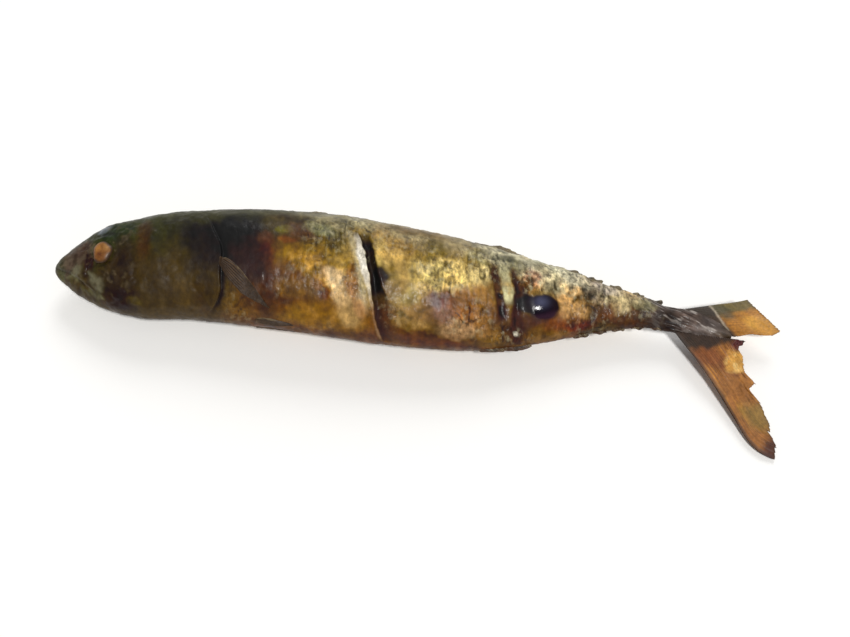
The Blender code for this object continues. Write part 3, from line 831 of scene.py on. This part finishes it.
# ---------------------------------------------------------------- materials
def node(tree, kind, settings=None, **links):
    """Adds a node, sets its properties and sockets, and links sockets to other nodes' outputs."""
    made = tree.nodes.new("ShaderNode" + kind)
    for key, value in (settings or {}).items():
        if isinstance(key, int) or key in made.inputs:
            made.inputs[key].default_value = value
        else:
            setattr(made, key, value)
    for key, source in links.items():
        socket = made.inputs[int(key[1:])] if key[1:].isdigit() else made.inputs[key.replace("_", " ")]
        tree.links.new(source, socket)
    return made


def new_material(name):
    material = bpy.data.materials.new(name)
    material.use_nodes = True
    material.node_tree.nodes.clear()
    return material, material.node_tree


def finish_material(tree, shader):
    node(tree, "OutputMaterial", _0=shader.outputs[0])


def smoked_skin():
    """Smoked mackerel skin: thin, leathery and oily. The oil gives a broken, waxy shine over a
    matt brown, and the fire has shrunk it into folds of 1 to 3 mm, with pores under 1 mm."""
    material, tree = new_material("smoked_mackerel_skin")
    place = node(tree, "TexCoord").outputs["Object"]
    tone = node(tree, "Attribute", {"attribute_name": "tone"}).outputs["Color"]
    oil = node(tree, "Attribute", {"attribute_name": "oil"}).outputs["Fac"]
    crinkle = node(tree, "Attribute", {"attribute_name": "crinkle"}).outputs["Fac"]
    across = node(tree, "Mapping", {"Scale": (1.25, 0.85, 0.85)}, Vector=place).outputs[0]
    fleck = node(
        tree, "TexNoise", {"Scale": 1 / (1.7 * MM), "Detail": 4.0, "Roughness": 0.62}, Vector=across
    ).outputs["Fac"]
    blotch = node(
        tree, "TexNoise", {"Scale": 1 / (4.0 * MM), "Detail": 5.0, "Roughness": 0.65}, Vector=place
    ).outputs["Fac"]
    grain = node(
        tree, "TexNoise", {"Scale": 1 / (0.6 * MM), "Detail": 2.0, "Roughness": 0.6}, Vector=place
    ).outputs["Fac"]
    # painted light and shade: the colour is lighter where the fine creases' bump stands high and darker where it
    # is low
    near = node(
        tree, "MapRange", {"From Min": 0.36, "From Max": 0.64, "To Min": -0.55, "To Max": 0.55}, Value=fleck
    )
    depth = node(tree, "MapRange", {"From Max": 0.9, "To Min": 0.04, "To Max": 1.0}, Value=crinkle)
    near = node(tree, "Math", {"operation": "MULTIPLY"}, _0=near.outputs[0], _1=depth.outputs[0])
    broad = node(
        tree, "MapRange", {"From Min": 0.3, "From Max": 0.7, "To Min": 0.80, "To Max": 1.20}, Value=blotch
    )
    both = node(
        tree, "Math", {"operation": "MULTIPLY_ADD"}, _0=near.outputs[0], _1=broad.outputs[0], _2=broad.outputs[0]
    )
    colour = node(tree, "VectorMath", {"operation": "SCALE"}, Vector=tone, Scale=both.outputs[0])
    # pale flakes over the dry, crinkled skin
    flake = node(
        tree, "TexNoise", {"Scale": 1 / (3.6 * MM), "Detail": 3.0, "Roughness": 0.55}, Vector=across
    ).outputs["Fac"]
    pale_flakes = node(tree, "MapRange", {"From Min": 0.54, "From Max": 0.70, "To Max": 0.45}, Value=flake)
    dry = node(tree, "MapRange", {"From Min": 0.25, "From Max": 0.9}, Value=crinkle)
    pale_flakes = node(tree, "Math", {"operation": "MULTIPLY"}, _0=pale_flakes.outputs[0], _1=dry.outputs[0])
    colour = node(
        tree, "Mix", {"data_type": "RGBA", 7: (*linear("#cdc298"), 1)}, _0=pale_flakes.outputs[0], _6=colour.outputs[0]
    )
    rough = node(tree, "MapRange", {"To Min": 0.72, "To Max": 0.10}, Value=oil)
    uneven = node(
        tree, "MapRange", {"From Min": 0.3, "From Max": 0.7, "To Min": 0.08, "To Max": -0.08}, Value=blotch
    )
    rough = node(
        tree, "Math", {"operation": "ADD", "use_clamp": True}, _0=rough.outputs[0], _1=uneven.outputs[0]
    )
    folds = node(tree, "Math", {"operation": "MULTIPLY"}, _0=fleck, _1=depth.outputs[0])
    creased = node(tree, "Bump", {"Strength": 0.7, "Distance": 0.55 * MM}, Height=folds.outputs[0])
    pores = node(
        tree, "Bump", {"Strength": 0.3, "Distance": 0.15 * MM}, Height=grain, Normal=creased.outputs[0]
    )
    shader = node(
        tree,
        "BsdfPrincipled",
        {"IOR": 1.30, "Coat Weight": 0.10, "Coat Roughness": 0.10},
        Base_Color=colour.outputs[2],
        Roughness=rough.outputs[0],
        Normal=pores.outputs[0],
        Coat_Normal=pores.outputs[0],
    )
    finish_material(tree, shader)
    return material


def fin_membrane():
    """Dried fin: a thin horny membrane on fine bony rays, amber where light passes through it."""
    material, tree = new_material("dried_fin_membrane")
    place = node(tree, "TexCoord").outputs["Object"]
    tone = node(tree, "Attribute", {"attribute_name": "tone"}).outputs["Color"]
    grain = node(tree, "TexNoise", {"Scale": 1 / (1.2 * MM), "Detail": 4.0, "Roughness": 0.65}, Vector=place)
    vary = node(
        tree, "MapRange", {"From Min": 0.3, "From Max": 0.7, "To Min": 0.72, "To Max": 1.28},
        Value=grain.outputs["Fac"],
    )
    colour = node(tree, "VectorMath", {"operation": "SCALE"}, Vector=tone, Scale=vary.outputs[0])
    bump = node(tree, "Bump", {"Strength": 0.3, "Distance": 0.2 * MM}, Height=grain.outputs["Fac"])
    shader = node(
        tree,
        "BsdfPrincipled",
        {"Roughness": 0.55, "IOR": 1.4, "Coat Weight": 0.08, "Coat Roughness": 0.3},
        Base_Color=colour.outputs[0],
        Normal=bump.outputs[0],
    )
    finish_material(tree, shader)
    return material


def cooked_eye():
    """A cooked fish eye: clouded, dull orange and slightly moist."""
    material, tree = new_material("cooked_fish_eye")
    place = node(tree, "TexCoord").outputs["Object"]
    tone = node(tree, "Attribute", {"attribute_name": "tone"}).outputs["Color"]
    grain = node(tree, "TexNoise", {"Scale": 1 / (1.0 * MM), "Detail": 3.0}, Vector=place)
    vary = node(
        tree, "MapRange", {"From Min": 0.3, "From Max": 0.7, "To Min": 0.80, "To Max": 1.2},
        Value=grain.outputs["Fac"],
    )
    colour = node(tree, "VectorMath", {"operation": "SCALE"}, Vector=tone, Scale=vary.outputs[0])
    shader = node(
        tree,
        "BsdfPrincipled",
        {"Roughness": 0.45, "IOR": 1.35, "Coat Weight": 0.05, "Coat Roughness": 0.2},
        Base_Color=colour.outputs[0],
    )
    finish_material(tree, shader)
    return material


# ---------------------------------------------------------------- eyes
def eye(name, side, material):
    """A cloudy ball flattened into a lens: a dome of cosine height over a disc, with a sunken,
    ragged pupil and a raised ring round it."""
    station = EYE_STATION
    centre = round_skin(station, side * EYE_ANGLE)
    look = outward(np.array(station), np.array(side * EYE_ANGLE))
    tail = unit(np.array([1.0, 0, 0]) - look[0] * look)
    down = np.cross(look, tail)
    lat = np.linspace(-0.495, 0.495, 60)[:, None] * math.pi
    lon = (np.arange(64) / 64 * 2 * math.pi)[None, :]
    r = np.cos(lat) * (1 + 0.05 * np.sin(3 * lon + 1) + 0.03 * np.sin(5 * lon))
    front = lat > 0
    height = np.sin(lat) * 2.3
    share = np.abs(np.cos(lat)) + 0 * lon
    height = height - front * 0.30 * hill(share - 0.10, 0.25) + front * 0.15 * noise(2 * MM * share[..., None] * np.stack([np.cos(lon + 0 * lat), np.sin(lon + 0 * lat), 0 * share], -1), 0.9, 92)
    x, y = 4.7 * r * np.cos(lon), 5.1 * r * np.sin(lon)
    points = centre + ((x[..., None] * tail + y[..., None] * down) + (height - 0.95)[..., None] * look) * MM
    grain = layered(points, 2.2, 91)
    tone = np.broadcast_to(linear("#74481e"), share.shape + (3,)).copy()
    across, down_by = r * np.cos(lon), -side * r * np.sin(lon)  # -1 to 1 towards the tail and the belly
    # painted highlights: two paler blobs over the eye's upper part
    tone = lay(tone, "#a36f35", hill(np.hypot(across + 0.30, down_by + 0.30) + 0.25 * grain, 0.50) * 0.9)
    tone = lay(tone, "#a67b47", hill(np.hypot(across - 0.60, down_by + 0.45) + 0.20 * grain, 0.40) * 0.8)
    tone = lay(tone, "#562710", 0.85 * hill(np.hypot(across + 0.10, down_by - 0.28) + 0.2 * grain, 0.26))
    tone = lay(tone, "#3b2a1a", np.clip(ramp(share + 0.12 * grain, 0.72, 0.95) + ramp(height, 0.2, -0.4), 0, 1))
    made = piece(
        name, points, tube_faces(*share.shape), material, "eye", tone=with_alpha(tone).reshape(-1, 4)
    )
    return made


# ---------------------------------------------------------------- fins
def ray_swell(a, b, rays):
    """1 along each fin ray and 0 between rays; every ray forks in two halfway along."""
    once = 0.5 + 0.5 * np.cos(2 * math.pi * rays * a)
    twice = 0.5 + 0.5 * np.cos(4 * math.pi * rays * a)
    return once + (twice - once) * ramp(b, 0.35, 0.65)


def fan(name, root, tip, bend, rays, thick, material, tone_of, across, along):
    """A fan of fin rays, closed all round. a runs across the rays and b along them: the middle
    surface runs from root(a) to tip(a), bent by bend(a, b), and the two faces stand off it by a
    thickness that thins out towards the tip and swells over every ray."""
    a = np.linspace(0, 1, across)[:, None]
    b = np.linspace(0, 1, along)[None, :]
    start, end = root(a), tip(a)
    mid = start + (end - start) * b[..., None] + bend(a, b)
    normal = unit(np.cross(np.gradient(mid, axis=0), np.gradient(mid, axis=1)))
    swell = ray_swell(a, b, rays)
    edge = ramp(a, 0, 0.02) * ramp(a, 1, 0.98) * 0.7 + 0.3
    half = thick * (1 - 0.72 * b) * edge * (0.55 + 0.45 * swell) * ramp(b, 1.02, 0.985) / 2 + 0.06
    front = mid + normal * (half * MM)[..., None]
    rear = mid - normal * (half * MM)[..., None]
    rings = np.concatenate([front, rear[:, ::-1]], axis=1)
    tone = tone_of(a + 0 * b, b + 0 * a, mid, swell)
    tone = np.concatenate([tone, tone[:, ::-1]], axis=1)
    return piece(
        name, rings, tube_faces(across, 2 * along), material, "fin", tone=with_alpha(tone).reshape(-1, 4)
    )


def tail_point(out, up):
    """A point of the tail fin's plane, from mm out from its root and mm up towards the back."""
    root, o, u, _ = tail_frame()
    return root + SHIFT + (np.asarray(out)[..., None] * o + np.asarray(up)[..., None] * u) * MM


LOWER_EDGE = (  # the frayed edge of the lower lobe: share of the way from its tip to the fork, out, up
    (0.00, 55.0, -47.0), (0.06, 55.7, -42.8), (0.14, 53.3, -39.0), (0.22, 50.0, -36.5),
    (0.28, 50.4, -33.9), (0.45, 43.0, -24.7), (0.53, 37.2, -21.2), (0.57, 36.0, -19.5),
    (0.61, 39.0, -16.8), (0.68, 33.0, -15.4), (0.86, 29.4, -6.2), (0.93, 26.3, -4.0),
    (1.00, 28.8, 1.4),
)
UPPER_EDGE = (  # the broken edge of the upper lobe, in the same way
    (0.00, 23.7, 21.0), (0.60, 42.7, 12.2), (0.72, 39.7, 8.8), (0.87, 33.0, 8.0), (1.00, 25.7, 3.3),
)
TAIL_RAYS = 24


def frayed(edge, seed, depth):
    """The edge's points at shares a, with each ray broken off at its own length."""
    share, out, up = np.array(edge).T

    def tip(a):
        a = a[:, 0]
        line = np.stack([a * 60, 0 * a + seed, 0 * a], axis=-1)
        torn = depth * np.abs(noise(line, 1000, seed)) + 0.4 * depth * np.abs(noise(line, 350, seed + 1))
        pull = 1 - torn * ramp(a, 0.0, 0.05) / 60
        return tail_point(np.interp(a, share, out) * pull, np.interp(a, share, up) * pull)[:, None]

    return tip


def lobe(name, first, last, edge, bulge, seed, material, tone_of, across, along, fray):
    """One lobe of the tail, between its leading edge and the fork."""

    def root(a):
        a = a[:, 0] ** 0.85
        return tail_point(first[0] + (last[0] - first[0]) * a, first[1] + (last[1] - first[1]) * a)[:, None]

    def bend(a, b):
        _, o, u, flank = tail_frame()
        swing = bulge * (1 - a) ** 3 * np.sin(math.pi * b**3.6)
        flat = np.stack([a * 25 + 0 * b, b * 60 + 0 * a, seed + 0 * a * b], axis=-1)
        wave = 0.9 * b * noise(flat * MM, 16, seed + 5) + 0.35 * b * noise(flat * MM, 6, seed + 6)
        return (swing[..., None] * (-0.56 * o - 0.83 * u) + wave[..., None] * flank) * MM

    return fan(name, root, frayed(edge, seed, fray), bend, TAIL_RAYS, 1.5, material, tone_of, across, along)


def tail_coordinates(points):
    root, o, u, _ = tail_frame()
    away = points - root - SHIFT
    return away @ o / MM, away @ u / MM


def near(out, up, at_out, at_up, reach_out, reach_up, ragged):
    """1 inside an ellipse of the tail's plane, falling to 0 at its edge."""
    return ramp(np.hypot((out - at_out) / reach_out, (up - at_up) / reach_up) + ragged, 1.4, 0.6)


def along_rays(a, b, seed):
    """Noise drawn out along the rays, from -1 to 1."""
    line = np.stack([a * 40, b * 5, 0 * a + seed], axis=-1)
    return layered(line * MM, 1, seed, 3)


def wedge(out, up, ragged):
    """The dark scaly wedge between the lobes, which ends at the fork."""
    return ramp(out + np.where(up > 0.5, 1.9, 1.5) * np.abs(up - 0.5) - 27 + 7 * ragged, 3.5, -3.5)


def upper_tone(a, b, points, swell):
    """Amber, olive along the leading edge, and dark before a pale crease across the root."""
    out, up = tail_coordinates(points)
    grain = layered(points, 5, 102)
    lines = along_rays(a, b, 104)
    inward = (5.5 + 0.59 * (out + 2.6) - up) * 0.86  # mm from the leading edge
    crease = (up - 11.1) + 0.765 * (out - 8.3) + 1.2 * grain  # 0 along the crease
    tone = np.broadcast_to(linear("#ab752e"), a.shape + (3,)).copy()
    tone = lay(tone, "#85551f", ramp(lines, 0.0, 0.5) * 0.5)
    tone = lay(tone, "#d8a144", near(out, up, 34, 11.5, 9, 3.6, 0.3 * grain) * 0.85)
    tone = lay(tone, "#655d36", ramp(inward + 1.5 * grain, 6.2, 3.4) * 0.9)
    tone = lay(tone, "#47432f", near(out, up, 14, 11, 7, 3.4, 0.3 * grain) * 0.8)
    tone = lay(tone, "#a9742f", ramp(out + 2 * grain, 27, 33) * ramp(inward, 1.0, 3.0) * 0.5)
    tone = lay(tone, "#3a3029", np.maximum(ramp(crease, 1.2, -1.2), wedge(out, up, grain)) * 0.95)
    tone = lay(tone, "#b3a692", hill(crease - 0.4, 0.7) * ramp(up, 2.5, 4) * 0.8)
    tone = tone * (0.92 + 0.16 * swell * ramp(out, 6, 14) + 0.22 * layered(points, 4, 113))[..., None]
    return lay(tone, "#3f2a18", ramp(b, 0.965, 1.0) * 0.6)


def lower_tone(a, b, points, swell):
    """Red brown, with a gold patch by the fork, an olive middle and a dark edge and tip."""
    out, up = tail_coordinates(points)
    grain = layered(points, 6, 103)
    lines = along_rays(a, b, 105)
    tone = np.broadcast_to(linear("#95602d"), a.shape + (3,)).copy()
    tone = lay(tone, "#bd8234", ramp(lines, 0.05, 0.5) * 0.6)
    tone = lay(tone, "#70491f", ramp(lines, -0.05, -0.5) * 0.6)
    tone = lay(tone, "#77401f", near(out, up, 13, -12, 8, 5, 0.4 * grain) * 0.75)
    tone = lay(tone, "#6e3520", near(out, up, 26, -14.5, 4.5, 2.6, 0.4 * grain) * 0.7)
    tone = lay(tone, "#7d6a30", near(out, up, 45, -31, 9, 6, 0.5 * grain) * 0.65)
    tone = lay(tone, "#94602a", near(out, up, 30, -20, 9, 5, 0.5 * grain) * 0.6)
    gold = near(out, up, 27.0, -9, 4.8, 5.6, 0.5 * grain)
    tone = lay(tone, "#cf9a44", gold * 0.9)
    # painted highlights: paler flecks over the gold patch
    tone = lay(tone, "#e3bd74", gold * ramp(noise(points, 2.2, 112), 0.0, 0.5) * 0.7)
    tone = lay(tone, "#3a271b", ramp(a + 0.008 * grain, 0.026, 0.006) * 0.8)
    tone = lay(tone, "#45251f", near(out, up, 54, -43, 5.5, 7, 0.3 * grain) * 0.9)
    tone = lay(tone, "#2e241e", wedge(out, up, grain) * 0.95)
    tone = lay(tone, "#4c1018", near(out, up, 26.6, -2.0, 4.4, 3.4, 0.4 * grain) * 0.9)
    tone = lay(tone, "#1c2616", near(out, up, 29.0, 1.0, 1.8, 1.4, 0.2 * grain) * 0.9)
    tone = tone * (0.92 + 0.16 * swell * ramp(out, 8, 16) + 0.25 * layered(points, 4, 114))[..., None]
    return lay(tone, "#4b2f1a", ramp(b, 0.975, 1.0) * 0.6)


def tail_fin(material):
    lobe("tail_lower_lobe", (-4.0, -6.8), (24, 0.5), LOWER_EDGE, 4.4, 111, material, lower_tone, 190, 120, 3.0)
    lobe("tail_upper_lobe", (-2.5, 5.5), (23, 1.5), UPPER_EDGE, 0.0, 121, material, upper_tone, 150, 90, 1.0)


def small_fin_tone(b, points, swell, side):
    """The skin's own colours: greyish olive on the back, brown on the belly."""
    tone = np.broadcast_to(linear("#6c614a" if side > 0 else "#4a3222"), b.shape + (3,)).copy()
    tone = lay(tone, "#29221a", 0.8 * ramp(layered(points, 3, 106), 0.0, 0.5))
    return lay(tone, "#aca07f", 0.6 * swell * ramp(layered(points, 3, 110), 0.0, 0.5))


def upright_fin(name, side, stations, height, lean, rays, material):
    """A low fin of the middle plane, folded down towards the tail. side is 1 on the back."""
    phi = 0.0 if side > 0 else math.pi

    def base(a):
        s = stations[0] + (stations[1] - stations[0]) * a[:, 0]
        return s, axes(s), round_skin(s, phi)

    def root(a):
        s, (tail, back, _), skin_point = base(a)
        return (skin_point - back * side * 0.9 * MM)[:, None]

    def tip(a):
        s, (tail, back, _), skin_point = base(a)
        share = a[:, 0]
        rise = np.sin(math.pi * np.clip(share * 0.74 + 0.1, 0, 1)) ** 0.7
        rise = rise * (0.85 + 0.35 * layered(skin_point, 3.2, 107, 2))
        return (skin_point + (back * side * (height * rise)[:, None] + tail * lean * rise[:, None]) * MM)[:, None]

    def bend(a, b):
        flank = axes(np.array(stations[0]))[2]
        return (0.9 * b * np.sin(9 * a + stations[0] * 90))[..., None] * flank * MM

    def tone_of(a, b, points, swell):
        return small_fin_tone(b, points, swell, side)

    fan(name, root, tip, bend, rays, 1.3, material, tone_of, rays * 8, 14)


PECTORAL = {"s": (0.240, 0.314), "phi": 100, "half": 3.8, "sweep": 45}
PELVIC = {"s": (0.292, 0.352), "phi": 166, "half": 2.6, "sweep": 0}


def lying_fin(name, side, fin, rays, material):
    """A shrivelled fin stuck to the skin: a leaf with its root at the front, whose rays stand
    proud of it, laid over the skin's own relief."""
    across, along = rays * 10, 60
    a = np.linspace(-1, 1, across)[:, None]
    b = np.linspace(0, 1, along)[None, :]
    reach = 1 - 0.16 * a**2 - 0.10 * np.abs(noise(np.stack([a, 0 * a, 0 * a], -1), 120, 108))
    s = fin["s"][0] + (fin["s"][1] - fin["s"][0]) * b * reach
    spread = fin["half"] / 20 * (0.28 + 0.72 * np.sin(math.pi * b**0.8) ** 0.8)
    phi = side * (math.radians(fin["phi"]) + math.radians(fin["sweep"]) * b * reach + spread * a)
    p = Place(s, phi)
    crumple = layered(p.points, (6, 3, 6), 110)
    relief = skin_relief(p)[0] + 0.35 * crumple
    swell = ray_swell((a + 1) / 2 + 0.05 * layered(p.points, (12, 5, 5), 117), b, rays)
    edge = ramp(np.abs(a), 1.0, 0.86) * ramp(b, 1.0, 0.94)
    out = outward(p.s, p.phi)
    top = on_the_floor(p.points + out * ((relief + (0.10 + 0.20 * swell) * edge) * MM)[..., None])
    under = on_the_floor(p.points + out * ((relief - 0.8) * MM)[..., None])
    rings = np.concatenate([top, under[:, ::-1]], axis=1)
    rings[..., 2] = np.maximum(rings[..., 2], 0.1 * MM)  # kept inside the skin where that is pressed flat
    grain = layered(p.points, 3, 109)
    tone = np.broadcast_to(linear("#3c2916"), p.s.shape + (3,)).copy()
    # painted shade between the rays and in the hollows of the crumpled membrane, and painted highlights along the
    # rays
    tone = lay(tone, "#1c120b", np.maximum(ramp(swell, 0.45, 0.1), ramp(crumple, -0.1, -0.5)) * 0.75)
    tone = lay(tone, "#63482a", ramp(swell + 1.3 * grain, 0.7, 1.4) * 0.5)
    tone = lay(tone, "#8f7b56", ramp(a + 0.4 * grain + 0 * b, -0.80, -0.95) * ramp(b, 0.9, 0.4) * 0.4)
    tone = np.concatenate([tone, tone[:, ::-1]], axis=1)
    faces = tube_faces(across, 2 * along)
    if side < 0:
        faces = [face[::-1] for face in faces]
    piece(name, rings, faces, material, "fin", tone=with_alpha(tone).reshape(-1, 4))


def small_fins(material):
    upright_fin("first_dorsal_fin", 1, (0.300, 0.385), 1.6, 3.0, 10, material)
    upright_fin("second_dorsal_fin", 1, (0.590, 0.668), 1.7, 3.0, 11, material)
    upright_fin("anal_fin", -1, (0.610, 0.680), 1.3, 3.0, 10, material)
    for row, side, first, last, height in (("back", 1, 0.735, 0.8615, 1.8), ("belly", -1, 0.745, 0.8615, 1.0)):
        for i in range(5):
            start, size = first + (last - first) * i / 4, 1 - 0.06 * i
            ends = (start, start + 0.021 * size)
            upright_fin(f"{row}_finlet_{i + 1}", side, ends, height * size, 2.6 * size, 5, material)
    for side, word in ((1, "left"), (-1, "right")):
        lying_fin(f"{word}_pectoral_fin", side, PECTORAL, 8, material)
        lying_fin(f"{word}_pelvic_fin", side, PELVIC, 6, material)


# ---------------------------------------------------------------- the stage
def floor():
    """A plain pale sheet, far larger than the fish."""
    material, tree = new_material("pale_floor")
    shader = node(tree, "BsdfPrincipled", {"Base Color": (*linear("#fcfcfb"), 1), "Roughness": 0.8})
    finish_material(tree, shader)
    mesh = bpy.data.meshes.new("floor")
    reach, z = 30.0, -0.1 * MM
    mesh.from_pydata([(-reach, -reach, z), (reach, -reach, z), (reach, reach, z), (-reach, reach, z)], [], [(0, 1, 2, 3)])
    mesh.materials.append(material)
    made = bpy.data.objects.new("floor", mesh)
    bpy.context.scene.collection.objects.link(made)


def sun(name, towards, width, strength, colour="#ffffff"):
    """A far, soft light: towards is the direction it comes from, and width its spread in degrees."""
    data = bpy.data.lights.new(name, "SUN")
    data.angle = math.radians(width)
    data.energy = strength
    data.color = linear(colour)
    made = bpy.data.objects.new(name, data)
    made.rotation_euler = Vector(towards).to_track_quat("Z", "Y").to_euler()
    bpy.context.scene.collection.objects.link(made)


def lights():
    """Soft studio light: an even surround, a lamp over the viewer and a wide one over the back."""
    world = bpy.data.worlds.new("studio")
    world.use_nodes = True
    world.node_tree.nodes["Background"].inputs["Color"].default_value = (1, 1, 1, 1)
    world.node_tree.nodes["Background"].inputs["Strength"].default_value = 0.24
    bpy.context.scene.world = world
    sun("lamp_over_the_viewer", (0.15, -0.41, 0.90), 9, 2.2, "#fffdfa")
    sun("lamp_over_the_back", (0.05, 0.78, 0.62), 28, 1.05)


VIEW_AZIMUTH, VIEW_ELEVATION, VIEW_ROLL = math.radians(-6.8), math.radians(62.6), math.radians(10.7)
VIEW_DISTANCE = 0.52
LENS = 50.0  # mm, on a sensor 36 mm wide


def camera():
    """Looks down on the left flank from the belly's side."""
    data = bpy.data.cameras.new("camera")
    data.lens = LENS
    data.sensor_width = 36
    data.clip_start = 0.01
    made = bpy.data.objects.new("camera", data)
    towards = Vector((
        math.sin(VIEW_AZIMUTH) * math.cos(VIEW_ELEVATION),
        -math.cos(VIEW_AZIMUTH) * math.cos(VIEW_ELEVATION),
        math.sin(VIEW_ELEVATION),
    ))
    aim = Vector(((cad_low.x + cad_high.x) / 2, (cad_low.y + cad_high.y) / 2, 0.018))
    turn = (-towards).to_track_quat("-Z", "Y").to_matrix() @ Matrix.Rotation(VIEW_ROLL, 3, "Z")
    made.matrix_world = Matrix.Translation(aim + towards * VIEW_DISTANCE) @ turn.to_4x4()
    bpy.context.scene.collection.objects.link(made)
    bpy.context.scene.camera = made


def main():
    camera()
    lights()
    floor()
    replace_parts(skin(), "smoked_fish")
    eye_material = cooked_eye()
    for side, word in ((1, "left"), (-1, "right")):
        eye(f"{word}_eye", side, eye_material)
    membrane = fin_membrane()
    tail_fin(membrane)
    small_fins(membrane)
    bpy.context.scene.view_settings.view_transform = "Standard"


main()
